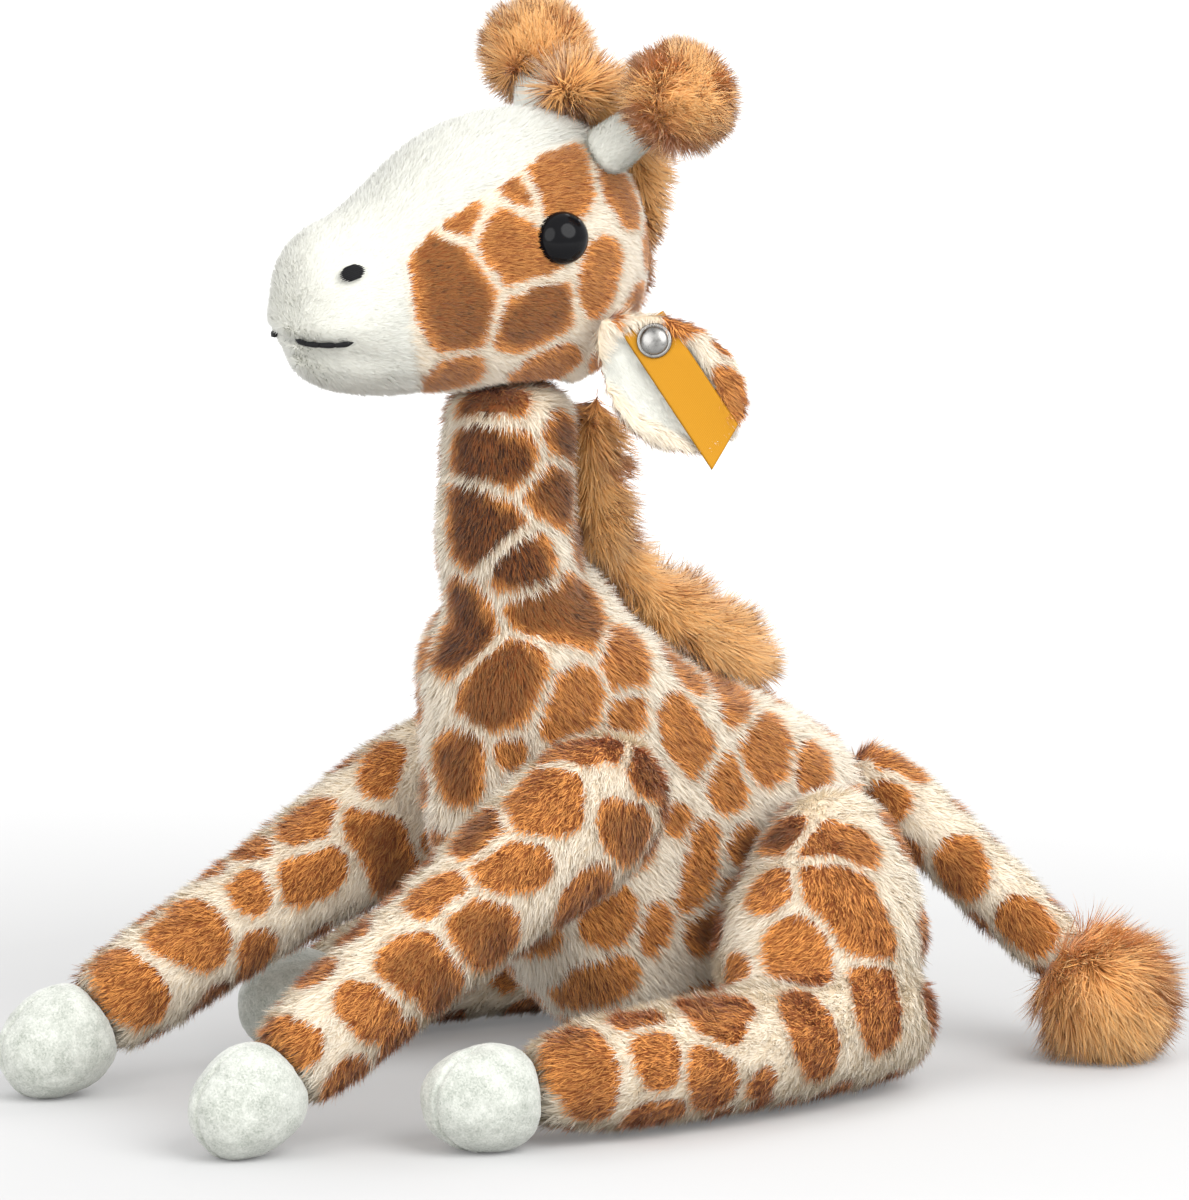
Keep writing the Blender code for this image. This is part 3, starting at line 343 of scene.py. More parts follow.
# Patches of the coat as discs of (pixel across, pixel down, radius in pixels), each row one patch
HEAD_PATCHES: tuple[Patch, ...] = (
    ((440, 262, 22), (455, 300, 29), (462, 322, 24)),
    ((503, 240, 19), (520, 257, 19), (545, 268, 12)),
    ((453, 228, 9), (468, 217, 9)),
    ((512, 186, 6), (526, 198, 6)),
    ((562, 165, 25), (560, 188, 23)),
    ((615, 185, 15), (626, 205, 15), (602, 171, 7)),
    ((603, 260, 14), (592, 292, 16)),
    ((545, 308, 25), (520, 325, 20)),
    ((556, 362, 16), (513, 382, 16), (535, 373, 18)),
    ((455, 372, 19), (428, 386, 12)),
    ((606, 320, 8),),
)
BODY_PATCHES: tuple[Patch, ...] = (
    ((490, 408, 13), (512, 404, 10), (470, 410, 9)),
    ((434, 440, 14), (438, 468, 15)),
    ((480, 448, 22), (508, 461, 20), (472, 466, 16)),
    ((560, 437, 14), (567, 448, 11)),
    ((556, 488, 17), (562, 505, 15), (540, 496, 9)),
    ((470, 503, 19), (478, 540, 24), (500, 528, 18)),
    ((431, 520, 11), (434, 534, 9)),
    ((520, 560, 20), (533, 575, 15), (500, 566, 12)),
    ((571, 536, 12), (573, 556, 11)),
    ((436, 577, 14), (440, 602, 13)),
    ((466, 602, 17), (470, 638, 22), (452, 654, 15)),
    ((540, 611, 22), (573, 607, 25), (584, 624, 16)),
    ((416, 640, 9), (428, 655, 9)),
    ((624, 650, 16), (624, 671, 15)),
    ((672, 664, 12), (688, 680, 12)),
    ((500, 690, 26), (515, 668, 20), (485, 710, 18)),
    ((577, 695, 20), (568, 716, 20)),
    ((624, 715, 15), (635, 733, 14)),
    ((674, 712, 11), (684, 738, 15), (698, 758, 12)),
    ((722, 688, 16), (736, 706, 17)),
    ((763, 742, 21), (766, 757, 17)),
    ((800, 708, 8), (815, 722, 7)),
    ((812, 768, 16), (824, 786, 16)),
    ((868, 786, 15), (890, 800, 14)),
    ((865, 752, 5), (893, 762, 8), (912, 775, 7)),
    ((720, 773, 12), (729, 794, 11)),
    ((456, 762, 18), (470, 742, 12), (461, 785, 13)),
    ((420, 790, 10), (424, 820, 12)),
    ((482, 828, 15), (470, 845, 12)),
    ((434, 855, 9),),
    ((510, 752, 10),),
    ((702, 838, 9), (698, 868, 11), (690, 900, 10)),
    ((768, 818, 18), (785, 838, 17), (745, 846, 13)),
    ((725, 905, 17), (702, 930, 14)),
    ((832, 842, 14), (858, 852, 14), (812, 848, 10)),
    ((905, 852, 12), (916, 870, 10)),
)
HAUNCH_PATCHES: tuple[Patch, ...] = (
    ((840, 892, 22), (856, 920, 20), (872, 945, 15), (822, 884, 14)),
    ((925, 908, 10), (926, 938, 12), (920, 965, 10)),
    ((795, 947, 20), (800, 968, 20)),
    ((738, 973, 10), (716, 975, 9)),
    ((873, 985, 17), (876, 1010, 20), (880, 1032, 13)),
    ((802, 1013, 17), (814, 1040, 17), (820, 1063, 12)),
    ((775, 887, 11), (762, 902, 8)),
)
HIND_LEG_PATCHES: tuple[Patch, ...] = (
    ((700, 1008, 16), (718, 1026, 16), (732, 1008, 12), (682, 997, 10)),
    ((642, 1020, 10), (624, 1022, 8)),
    ((570, 1045, 18), (585, 1075, 22), (592, 1103, 14)),
    ((653, 1050, 14), (659, 1070, 12)),
    ((708, 1068, 16), (714, 1090, 16)),
    ((642, 1117, 14), (662, 1114, 12)),
    ((760, 1083, 9), (757, 1103, 7)),
    ((548, 1142, 9), (578, 1142, 6)),
    ((697, 1124, 6),),
)
NEAR_LEG_PATCHES: tuple[Patch, ...] = (
    ((550, 790, 18), (530, 810, 18), (558, 812, 14)),
    ((645, 775, 17), (664, 798, 15), (675, 820, 9)),
    ((630, 836, 20), (650, 863, 19), (612, 822, 12)),
    ((508, 867, 14), (530, 868, 13), (488, 876, 10)),
    ((438, 896, 10), (420, 905, 8), (455, 887, 8)),
    ((588, 892, 20), (608, 916, 21), (572, 906, 16)),
    ((490, 938, 23), (512, 962, 24), (470, 925, 16)),
    ((418, 964, 19), (440, 990, 18), (398, 970, 14), (450, 1015, 13)),
    ((592, 984, 16), (618, 974, 12), (566, 996, 9)),
    ((296, 986, 13), (316, 975, 13), (275, 996, 8)),
    ((374, 1015, 17), (395, 1043, 18), (352, 1004, 10)),
    ((275, 1038, 14), (300, 1045, 12), (250, 1042, 9)),
    ((345, 1080, 18), (335, 1104, 17), (366, 1088, 13)),
    ((656, 918, 8), (651, 938, 8)),
    ((580, 752, 11), (552, 758, 8), (610, 750, 9)),
)
FAR_LEG_PATCHES: tuple[Patch, ...] = (
    ((384, 757, 11), (377, 782, 10)),
    ((305, 826, 14), (320, 816, 11), (288, 836, 9)),
    ((245, 852, 8), (264, 849, 7)),
    ((352, 826, 9), (380, 843, 18), (392, 872, 18)),
    ((308, 877, 15), (328, 868, 12), (290, 887, 9)),
    ((251, 893, 14),),
    ((195, 880, 12), (176, 890, 9), (214, 873, 8)),
    ((184, 925, 19), (202, 943, 18), (168, 936, 13)),
    ((140, 925, 12), (120, 935, 10), (154, 918, 7)),
    ((110, 965, 12), (126, 984, 17), (142, 1004, 16)),
    ((256, 950, 13), (250, 970, 10)),
    ((304, 942, 15), (320, 936, 11)),
    ((365, 924, 15), (350, 934, 10)),
    ((206, 1002, 11), (190, 1012, 10)),
    ((146, 1054, 9), (165, 1045, 7)),
    ((70, 965, 6),),
)
TAIL_PATCHES: tuple[Patch, ...] = (
    ((940, 782, 11), (954, 803, 12)),
    ((960, 862, 15), (967, 880, 12)),
    ((1030, 862, 9), (1014, 852, 8), (1046, 876, 8)),
    ((1020, 920, 14), (1037, 936, 12)),
    ((1076, 905, 6),),
)
EAR_PATCHES: tuple[Patch, ...] = (((633, 303, 14), (652, 309, 10)), ((735, 405, 10), (726, 382, 8)))


# The pale part of the face in the photograph, as corners in pixels
PALE_FACE = (
    (180, 470), (414, 462), (418, 402), (409, 335), (403, 262), (424, 232), (462, 206),
    (500, 182), (535, 155), (573, 140), (597, 149), (608, 168), (630, 172), (650, 110), (650, 40), (180, 40),
)

# How sooty the middles of each table's patches are, and the rows that are sootier
SEEN_PATCHES: tuple[tuple[Patch, float], ...] = tuple(
    (patch, more if row in sooty else usual)
    for table, usual, more, sooty in (
        (HEAD_PATCHES, 0.35, 0.70, (0, 3, 7)),
        (BODY_PATCHES[:11], 0.80, 1.00, (2, 5, 7, 10)),
        (BODY_PATCHES[11:], 0.28, 0.70, (0, 4, 15, 17, 21, 22)),
        (HAUNCH_PATCHES + HIND_LEG_PATCHES, 0.10, 0.30, (7, 9)),
        (NEAR_LEG_PATCHES + FAR_LEG_PATCHES, 0.18, 0.50, (1, 2, 6, 7, 18)),
        (TAIL_PATCHES + EAR_PATCHES, 0.40, 0.60, (5,)),
    )
    for row, patch in enumerate(table)
)

# The lining of the near ear, as corners in pixels
EAR_LINING = (
    (612, 335), (640, 325), (690, 345), (715, 385), (725, 430), (700, 447), (640, 415), (597, 372),
)


class Photograph:
    """The photograph's camera, which turns its pixels into rays and places into pixels."""

    def __init__(self) -> None:
        across, up = math.cos(CAMERA_AZIMUTH), math.cos(CAMERA_ELEVATION)
        self.back = Vector((math.sin(CAMERA_AZIMUTH) * up, -across * up, math.sin(CAMERA_ELEVATION)))
        self.right = Vector((across, math.sin(CAMERA_AZIMUTH), 0))
        self.up = self.back.cross(self.right)
        self.eye = CAMERA_AIM + CAMERA_DISTANCE * self.back
        self.focal = CAMERA_LENS / CAMERA_SENSOR * PHOTO_HEIGHT

    def camera(self) -> None:
        """Add the camera and make it the scene's."""
        data = bpy.data.cameras.new("photo_camera")
        data.sensor_fit = "VERTICAL"
        data.sensor_height = CAMERA_SENSOR
        data.lens = CAMERA_LENS
        camera = bpy.data.objects.new("photo_camera", data)
        turn = Matrix((self.right, self.up, self.back)).transposed()
        camera.matrix_world = Matrix.Translation(self.eye) @ turn.to_4x4()
        bpy.context.collection.objects.link(camera)
        bpy.context.scene.camera = camera

    def place(self, tree: BVHTree, across: float, down: float) -> Vector | None:
        """The nearest place of a surface behind a pixel, or None.

        Args:
            tree: The surface.
            across: Pixels from the photograph's left edge.
            down: Pixels from its top edge.

        Returns:
            The place, or None where nothing is behind the pixel.
        """
        side = (across - PHOTO_WIDTH / 2) / self.focal
        height = (PHOTO_HEIGHT / 2 - down) / self.focal
        toward = (side * self.right + height * self.up - self.back).normalized()
        return tree.ray_cast(self.eye, toward)[0]

    def shut_off(self, tree: BVHTree, points: Array) -> Array:
        """Whether a surface stands between the camera and each place."""
        offset = points - np.array(self.eye)
        reach = np.linalg.norm(offset, axis=1)
        shut = [
            tree.ray_cast(self.eye, Vector(toward), far - SHUT_OFF_GAP)[0] is not None
            for toward, far in zip(offset / reach[:, None], reach)
        ]
        return np.array(shut)

    def pixels(self, points: Array) -> Array:
        """Pixels (n, 2) of places (n, 3)."""
        offset = points - np.array(self.eye)
        depth = -(offset @ np.array(self.back))
        across = offset @ np.array(self.right) / depth * self.focal + PHOTO_WIDTH / 2
        down = PHOTO_HEIGHT / 2 - offset @ np.array(self.up) / depth * self.focal
        return np.stack([across, down], axis=1)


PHOTO = Photograph()


# Meshes as arrays
def places(mesh: Mesh) -> Array:
    """Vertex places of a mesh as an array."""
    flat = np.empty(len(mesh.vertices) * 3, np.float32)
    mesh.vertices.foreach_get("co", flat)
    return flat.reshape(-1, 3).astype(float)


def put(mesh: Mesh, points: Array) -> None:
    """Set the vertex places of a mesh."""
    mesh.vertices.foreach_set("co", points.astype(np.float32).ravel())
    mesh.update()


def normals(mesh: Mesh) -> Array:
    """Vertex normals of a mesh as an array."""
    flat = np.empty(len(mesh.vertices) * 3, np.float32)
    mesh.vertex_normals.foreach_get("vector", flat)
    return flat.reshape(-1, 3).astype(float)


def unit(vectors: Array) -> Array:
    """Vectors scaled to length one."""
    return vectors / np.maximum(np.linalg.norm(vectors, axis=-1, keepdims=True), TINY)


def unit_of(*vector: float) -> Array:
    """One vector scaled to length one."""
    return unit(np.array(vector)[None])[0]


def smoothstep(low: float, high: float, values: Array) -> Array:
    """Soft step from 0 at low to 1 at high."""
    share = np.clip((values - low) / (high - low), 0, 1)
    return share * share * (3 - 2 * share)


def bell(values: Array, half: float, middle: float = 0.0) -> Array:
    """Soft bump of height one about a middle."""
    return np.exp(-(((values - middle) / half) ** 2))


def scale(mesh: Mesh, name: str, share: Array) -> None:
    """Multiply what keep() stored."""
    keep(mesh, name, kept(mesh, name) * share)


def keep(mesh: Mesh, name: str, values: Array) -> None:
    """Store one number or one vector for each vertex."""
    vector = values.ndim == 2
    kind = "FLOAT_VECTOR" if vector else "FLOAT"
    layer = mesh.attributes.get(name) or mesh.attributes.new(name, kind, "POINT")
    layer.data.foreach_set("vector" if vector else "value", values.astype(np.float32).ravel())


def kept(mesh: Mesh, name: str) -> Array:
    """Read back what keep() stored."""
    layer = mesh.attributes[name]
    vector = layer.data_type == "FLOAT_VECTOR"
    flat = np.empty(len(mesh.vertices) * (3 if vector else 1), np.float32)
    layer.data.foreach_get("vector" if vector else "value", flat)
    return flat.reshape(-1, 3).astype(float) if vector else flat.astype(float)


def ripple(points: Array, size: float, seed: float = 0.0) -> Array:
    """Smooth noise between about -1 and 1 whose lumps are about one size."""
    shift = Vector((seed, seed * 1.7, -seed))
    return np.array([lumpy.noise(Vector(p) / size + shift) for p in points])


def tree_of(mesh: Mesh) -> BVHTree:
    """Search tree of a mesh."""
    return BVHTree.FromPolygons([v.co for v in mesh.vertices], [tuple(p.vertices) for p in mesh.polygons])


def tree_without(nodes: Iterable[str]) -> BVHTree:
    """Search tree of all solids but some."""
    shape = bmesh.new()
    for name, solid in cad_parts.items():
        if name not in nodes:
            shape.from_mesh(solid.data)
    tree = BVHTree.FromBMesh(shape)
    shape.free()
    return tree


def linked(name: str, mesh: Mesh) -> Object:
    """Put a mesh into the scene under a name."""
    mesh.name = name
    thing = bpy.data.objects.new(name, mesh)
    bpy.context.collection.objects.link(thing)
    return thing


def baked(thing: Object) -> None:
    """Turn an object's modifiers into its plain mesh."""
    graph = bpy.context.evaluated_depsgraph_get()
    mesh = bpy.data.meshes.new_from_object(thing.evaluated_get(graph))
    old = thing.data
    thing.modifiers.clear()
    thing.data = mesh
    mesh.name = thing.name
    bpy.data.meshes.remove(old)


def remeshed(thing: Object, grain: float) -> None:
    """Give an object one even outer surface."""
    coarse = thing.modifiers.new("Cloth grain", "REMESH")
    coarse.mode = "VOXEL"
    coarse.voxel_size = grain
    baked(thing)


def divided(thing: Object, levels: int) -> None:
    """Split the faces of an object smoothly."""
    fine = thing.modifiers.new("Fine cloth", "SUBSURF")
    fine.levels = fine.render_levels = levels
    baked(thing)


def joined(name: str, nodes: Iterable[str], tubes: Tubes = ()) -> Object:
    """One object with the welded meshes of several nodes, and tubes along paths.

    Args:
        name: Name of the object.
        nodes: Solids whose meshes it takes.
        tubes: Paths, each with its radius.

    Returns:
        The new object.
    """
    shape = bmesh.new()
    for node in nodes:
        shape.from_mesh(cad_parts[node].data)
    bmesh.ops.remove_doubles(shape, verts=shape.verts, dist=WELD)
    for path, radius in tubes:
        tube(shape, path, radius, CORE_SIDES)
    mesh = bpy.data.meshes.new(name)
    shape.to_mesh(mesh)
    shape.free()
    mesh.materials.clear()
    return linked(name, mesh)


def relaxed(points: Array, mesh: Mesh, rounds: int, share: float = 0.5) -> Array:
    """Even out a surface by moving each vertex towards the middle of its neighbours."""
    ends = np.empty(len(mesh.edges) * 2, np.int32)
    mesh.edges.foreach_get("vertices", ends)
    first, second = ends.reshape(-1, 2).T
    count = np.bincount(ends, minlength=len(points))[:, None]
    for _ in range(rounds):
        total = np.zeros_like(points)
        np.add.at(total, first, points[second])
        np.add.at(total, second, points[first])
        points = points + share * (total / np.maximum(count, 1) - points)
    return points


def on_stretch(points: Array, start: Array, end: Array) -> tuple[Array, Array]:
    """Distance of each point to a straight stretch, and the nearest place on it."""
    span = end - start
    share = np.clip((points - start) @ span / (span @ span), 0, 1)
    there = start + share[:, None] * span
    return np.linalg.norm(points - there, axis=1), there


def flow(points: Array, path: Sequence[Sequence[float]]) -> Array:
    """Directions that follow a path, taken from its nearest stretches."""
    corners = np.array(path, float)
    total = np.zeros_like(points)
    for start, end in zip(corners[:-1], corners[1:]):
        away, _ = on_stretch(points, start, end)
        span = end - start
        total += (span / np.linalg.norm(span)) / (away[:, None] + MM) ** 4
    return unit(total)


def flat_to(vectors: Array, up: Array) -> Array:
    """The part of each vector that lies in the surface."""
    return unit(vectors - up * np.sum(vectors * up, axis=1, keepdims=True))


@dataclass
class Cover:
    """A stuffed cover whose shape comes from the solids that it stands for.

    Attributes:
        name: Name of the piece.
        nodes: Solids that it replaces.
        path: Places that the pile is combed along.
        coat: Pile that grows on it.
        voxel: Grain of the first surface.
        inset: How far the cloth lies under the tips of the pile.
        swell: How far the stuffing may push the cloth out.
        fill: Meant as how tightly it is stuffed, from 0 to 1; not used.
        rounds: Rounds of evening out.
        splits: How often the faces are split.
        tubes: Paths of further parts of it, each with its radius.
    """

    name: str
    nodes: tuple[str, ...]
    path: Sequence[Place]
    coat: Coat
    voxel: float = 4 * MM
    inset: float = 1.3 * MM
    swell: float = 0.8 * MM
    fill: float = 0.85
    rounds: int = 2
    splits: int = 2
    tubes: Tubes = ()
    skin: Object = field(init=False)

    def make(self) -> None:
        """Build the cloth, fill it and comb it."""
        self.skin = joined(self.name, self.nodes, self.tubes)
        remeshed(self.skin, self.voxel)
        mesh = self.skin.data
        put(mesh, relaxed(places(mesh), mesh, self.rounds))
        points = places(mesh) - normals(mesh) * (self.inset + self.swell)
        points[:, 2] = np.maximum(points[:, 2], CLOTH_CLEARANCE)
        put(mesh, points)
        self.stuff()
        divided(self.skin, self.splits)
        self.skin.data.shade_smooth()
        self.comb()
        log.info("%s: %d faces of cloth", self.name, len(self.skin.data.polygons))

    def stuff(self) -> None:
        mesh = self.skin.data
        start = places(mesh)
        if self.swell <= 0:
            return
        cloth = self.skin.modifiers.new("Stuffing", "CLOTH")
        cloth.settings.quality = CLOTH_QUALITY
        cloth.settings.use_pressure = True
        cloth.settings.uniform_pressure_force = CLOTH_PRESSURE
        cloth.settings.effector_weights.gravity = 0
        cloth.collision_settings.use_collision = False
        cloth.point_cache.frame_end = CLOTH_FRAMES
        for step in range(1, CLOTH_FRAMES + 1):
            bpy.context.scene.frame_set(step)
        graph = bpy.context.evaluated_depsgraph_get()
        swollen = bpy.data.meshes.new_from_object(self.skin.evaluated_get(graph))
        moved = places(swollen) - start
        bpy.data.meshes.remove(swollen)
        self.skin.modifiers.clear()
        bpy.context.scene.frame_set(1)
        far = np.linalg.norm(moved, axis=1, keepdims=True)
        most = self.swell * CLOTH_CAP_SHARE
        points = start + moved * np.minimum(1, most / np.maximum(far, TINY))
        points[:, 2] = np.maximum(points[:, 2], CLOTH_CLEARANCE)
        put(mesh, points)

    def comb(self) -> None:
        """Store the lie of the pile and plain starting values."""
        mesh = self.skin.data
        points, up = places(mesh), normals(mesh)
        keep(mesh, "up", up)
        keep(mesh, "comb", flat_to(flow(points, self.path), up))
        for name, value in (("fill", 1.0), ("patch", 0.0), ("soot", 0.0), ("pale", 0.0), ("halo", 0.0)):
            keep(mesh, name, np.full(len(points), value))
        near_floor = smoothstep(0, FLOOR_REACH_HEIGHT, points[:, 2])
        keep(mesh, "reach", FLOOR_REACH + (1 - FLOOR_REACH) * near_floor)

    def trim(self, centre: Sequence[float], inner: float, outer: float, least: float) -> None:
        """Shorten the pile around a place, and leave none at its middle.

        Args:
            centre: The place.
            inner: Distance at which pile starts, at its shortest.
            outer: Distance from which it has its full length.
            least: Share of the length that the shortest pile keeps.
        """
        mesh = self.skin.data
        away = np.linalg.norm(places(mesh) - np.array(centre), axis=1)
        share = least + (1 - least) * smoothstep(inner, outer, away)
        scale(mesh, "reach", share)
        scale(mesh, "fill", smoothstep(inner * TRIM_FADE, inner, away))

    def fray(self, end: Sequence[float]) -> None:
        """Lengthen the pile around a sewn end, where it hangs over what comes next."""
        mesh = self.skin.data
        away = np.linalg.norm(places(mesh) - np.array(end), axis=1)
        longer = FRAY_GROWTH * (1 - smoothstep(FRAY_INNER, FRAY_OUTER, away))
        scale(mesh, "reach", 1 + longer)


@dataclass
class Markings:
    """The spots of a coat, from discs in the photograph and more like them out of its sight.

    Attributes:
        cover: Cover that is spotted.
        mirror: Whether the hidden side repeats the seen one.
        spacing: Usual distance between the middles of hidden patches.
        seed: Seed of the hidden patches.
        blank: Tells which places have no spots at all.
    """

    cover: Cover
    mirror: bool
    spacing: float
    seed: int
    blank: Callable[[Array], Array] | None = None
    points: Array = field(init=False)
    near: Array = field(init=False)
    second: Array = field(init=False)
    soot: Array = field(init=False)

    def paint(self) -> None:
        """Work out the patches and store them on the cloth."""
        mesh = self.cover.skin.data
        self.points, up = places(mesh), normals(mesh)
        self.near = np.full(len(self.points), FAR)
        self.second = np.full(len(self.points), FAR)
        self.soot = np.zeros(len(self.points))
        bare = self.blank(self.points) if self.blank else np.zeros(len(self.points), bool)
        tree, others = tree_of(mesh), tree_without(self.cover.nodes)
        found = self.seen_patches(tree, others, kept(mesh, "comb"))
        for middles, radii, dark in found:
            self.add(middles, radii, dark)
        shut = PHOTO.shut_off(others, self.points)
        hidden = ((up @ np.array(PHOTO.back) < HIDDEN_SHARE) | shut) & ~bare
        if self.mirror:
            self.repeat(tree, found, hidden)
        self.scatter(up, hidden)
        ragged = EDGE_RIPPLE * ripple(self.points, EDGE_LUMPS, self.seed)
        ragged += EDGE_RIPPLE * FINE_RIPPLE_SHARE * ripple(self.points, FINE_LUMPS)
        outside = np.maximum(self.near, PATCH_GAP / 2 - (self.second - self.near) / 2) + ragged
        outside = np.where(bare, np.maximum(outside, 2 * EDGE_SOFT), outside)
        keep(mesh, "patch", 1 - smoothstep(-EDGE_SOFT, EDGE_SOFT, outside))
        keep(mesh, "soot", self.soot)
        keep(mesh, "halo", (1 - smoothstep(0, HALO, outside)) * ~bare)

    def nearest(self, place: Sequence[float]) -> int:
        """Number of the vertex nearest to a place."""
        return int(np.argmin(np.sum((self.points - np.array(place)) ** 2, axis=1)))

    def seen_patches(
        self, tree: BVHTree, others: BVHTree, comb: Array
    ) -> list[tuple[list[Array], list[float], float]]:
        """The photograph's patches on this cover, moved back along the lie of the pile.

        Args:
            tree: The cover.
            others: All solids that it doesn't replace.
            comb: Lie of the pile at each vertex.

        Returns:
            Middles, radii and sootiness of each patch.
        """
        shift = self.cover.coat.length * PATCH_SHIFT
        found = []
        for patch, dark in SEEN_PATCHES:
            middles, radii = [], []
            for across, down, radius in patch:
                place = PHOTO.place(tree, across, down)
                if place is None or PHOTO.shut_off(others, np.array(place)[None])[0]:
                    continue
                middles.append(np.array(place) - comb[self.nearest(place)] * shift)
                radii.append(radius * PIXEL * PATCH_SWELL + PATCH_GROWTH)
            if middles:
                found.append((middles, radii, dark))
        return found

    def repeat(self, tree: BVHTree, found: Sequence[tuple], hidden: Array) -> None:
        """Repeat the seen patches on the hidden side where there is room."""
        for middles, radii, dark in found:
            across = [m * np.array((-1, 1, 1)) + np.array((2 * MIDDLE, 0, 0)) for m in middles]
            snapped = [np.array(tree.find_nearest(Vector(m))[0]) for m in across]
            index = [self.nearest(m) for m in snapped]
            if all(hidden[i] and self.near[i] > r + PATCH_GAP for i, r in zip(index, radii)):
                self.add(snapped, radii, dark)

    def scatter(self, up: Array, hidden: Array) -> None:
        """Fill the rest of the hidden coat with patches of its own."""
        rng = np.random.default_rng(self.seed)
        for _ in range(MOST_PATCHES):
            room = np.where(hidden, self.near, -1)
            index = int(np.argmax(room + rng.random(len(room)) * MM))
            if room[index] < self.spacing * ROOM_SHARE:
                break
            radius = min((room[index] - PATCH_GAP) * rng.uniform(*HIDDEN_SIZES), self.spacing * WIDEST_SHARE)
            side = flat_to(rng.normal(size=(1, 3)), up[index : index + 1])[0]
            middles = [self.points[index] + side * radius * t for t in (-HIDDEN_STRETCH, HIDDEN_STRETCH)]
            radii = [radius * rng.uniform(*HIDDEN_DISCS) for _ in middles]
            self.add(middles, radii, rng.uniform(*HIDDEN_SOOT))

    def add(self, middles: Sequence[Array], radii: Sequence[float], dark: float) -> None:
        """Add one patch, whose discs melt into each other, to the distances so far."""
        own = np.zeros(len(self.points))
        for middle, radius in zip(middles, radii):
            off = np.linalg.norm(self.points - middle, axis=1) - radius
            own += np.exp(-np.clip(off / PATCH_MELT, -30, 30))
        own = -PATCH_MELT * np.log(own)
        self.second = np.minimum(self.second, np.maximum(self.near, own))
        self.near = np.minimum(self.near, own)
        self.soot = np.maximum(self.soot, dark * (1 - smoothstep(*SOOT_FADE, own)))


def inside(pixels: Array, corners: Sequence[Sequence[float]]) -> Array:
    """Signed distance in pixels to a polygon, positive inside."""
    outline = np.array(corners, float)
    x, y = pixels.T
    within = np.zeros(len(pixels), bool)
    nearest = np.full(len(pixels), np.inf)
    for start, end in zip(outline, np.roll(outline, -1, axis=0)):
        span = end - start
        crosses = (start[1] > y) != (end[1] > y)
        slope = span[0] / span[1] if span[1] else 0.0
        within ^= crosses & (x < slope * (y - start[1]) + start[0])
        nearest = np.minimum(nearest, on_stretch(pixels, start, end)[0])
    return np.where(within, nearest, -nearest)


def pale_face(points: Array) -> Array:
    """Signed distance in pixels of a place on the head to the pale part of the face."""
    return inside(PHOTO.pixels(mirrored(points)), PALE_FACE)


# Node graphs
class Graph:
    """Adds and joins nodes of one tree."""

    def __init__(self, tree: NodeTree) -> None:
        self.tree = tree
        tree.nodes.clear()

    def add(self, kind: str, inputs: dict | None = None, **settings: object) -> Node:
        """Add a node, set its options, and set or link its inputs.

        Args:
            kind: Type of the node.
            inputs: Value or socket for each input, by name or number.
            **settings: Options of the node.

        Returns:
            The node.
        """
        node = self.tree.nodes.new(kind)
        for name, value in settings.items():
            setattr(node, name, value)
        for key, value in (inputs or {}).items():
            socket = node.inputs[key]
            if isinstance(value, Socket):
                self.tree.links.new(value, socket)
            else:
                socket.default_value = value
        return node

    def math(
        self, operation: str, first: Socket | float, second: Socket | float = 0.0, clamp: bool = False
    ) -> Socket:
        """A Math node's result."""
        node = self.add("ShaderNodeMath", {0: first, 1: second}, operation=operation, use_clamp=clamp)
        return node.outputs[0]

    def vector(
        self, operation: str, first: Socket, second: Socket | Place | None = None, scale: Socket | None = None
    ) -> Socket:
        """A Vector Math node's result."""
        inputs = {0: first}
        if second is not None:
            inputs[1] = second
        if scale is not None:
            inputs["Scale"] = scale
        node = self.add("ShaderNodeVectorMath", inputs, operation=operation)
        return node.outputs["Value" if operation in ("LENGTH", "DOT_PRODUCT") else "Vector"]

    def mix(self, share: Socket | float, first: Socket | Tone, second: Socket | Tone) -> Socket:
        """Mix two colours."""
        node = self.add("ShaderNodeMix", data_type="RGBA")
        for socket, value in ((0, share), (6, first), (7, second)):
            if isinstance(value, Socket):
                self.tree.links.new(value, node.inputs[socket])
            elif socket == 0:
                node.inputs[socket].default_value = value
            else:
                node.inputs[socket].default_value = (*value.value, 1.0)
        return node.outputs[2]

    def number(self, name: str) -> Socket:
        """A number kept on the mesh, read in a material."""
        return self.add("ShaderNodeAttribute", attribute_name=name).outputs["Fac"]

    def spread(self, size: float, detail: float = 3.0, rough: float = 0.6) -> Socket:
        """Noise over the object's own places, with lumps of about one size."""
        place = self.add("ShaderNodeTexCoord").outputs["Object"]
        values = {"Vector": place, "Scale": 1 / size, "Detail": detail, "Roughness": rough}
        return self.add("ShaderNodeTexNoise", values).outputs["Fac"]

    def wave(self, place: Socket, scale: float, way: str, bent: float = 0.0) -> Socket:
        """Bands across one direction."""
        values = {"Vector": place, "Scale": scale, "Distortion": bent}
        return self.add("ShaderNodeTexWave", values, bands_direction=way).outputs["Fac"]

    def ramp(self, value: Socket, low: float, high: float, least: float = 0.0, most: float = 1.0) -> Socket:
        """A value brought from one range to another."""
        return self.add("ShaderNodeMapRange", {0: value, 1: low, 2: high, 3: least, 4: most}).outputs[0]


PILE_NUMBERS = ("Density", "Length", "Width", "Lean", "Jitter", "Sway", "Drift", "Gather", "Tuft", "Curl")
PILE_INPUTS = (
    ("Geometry", "Geometry"),
    *((label, "Float") for label in PILE_NUMBERS),
    ("Seed", "Int"),
    ("Strand", "Object"),
    ("Material", "Material"),
)


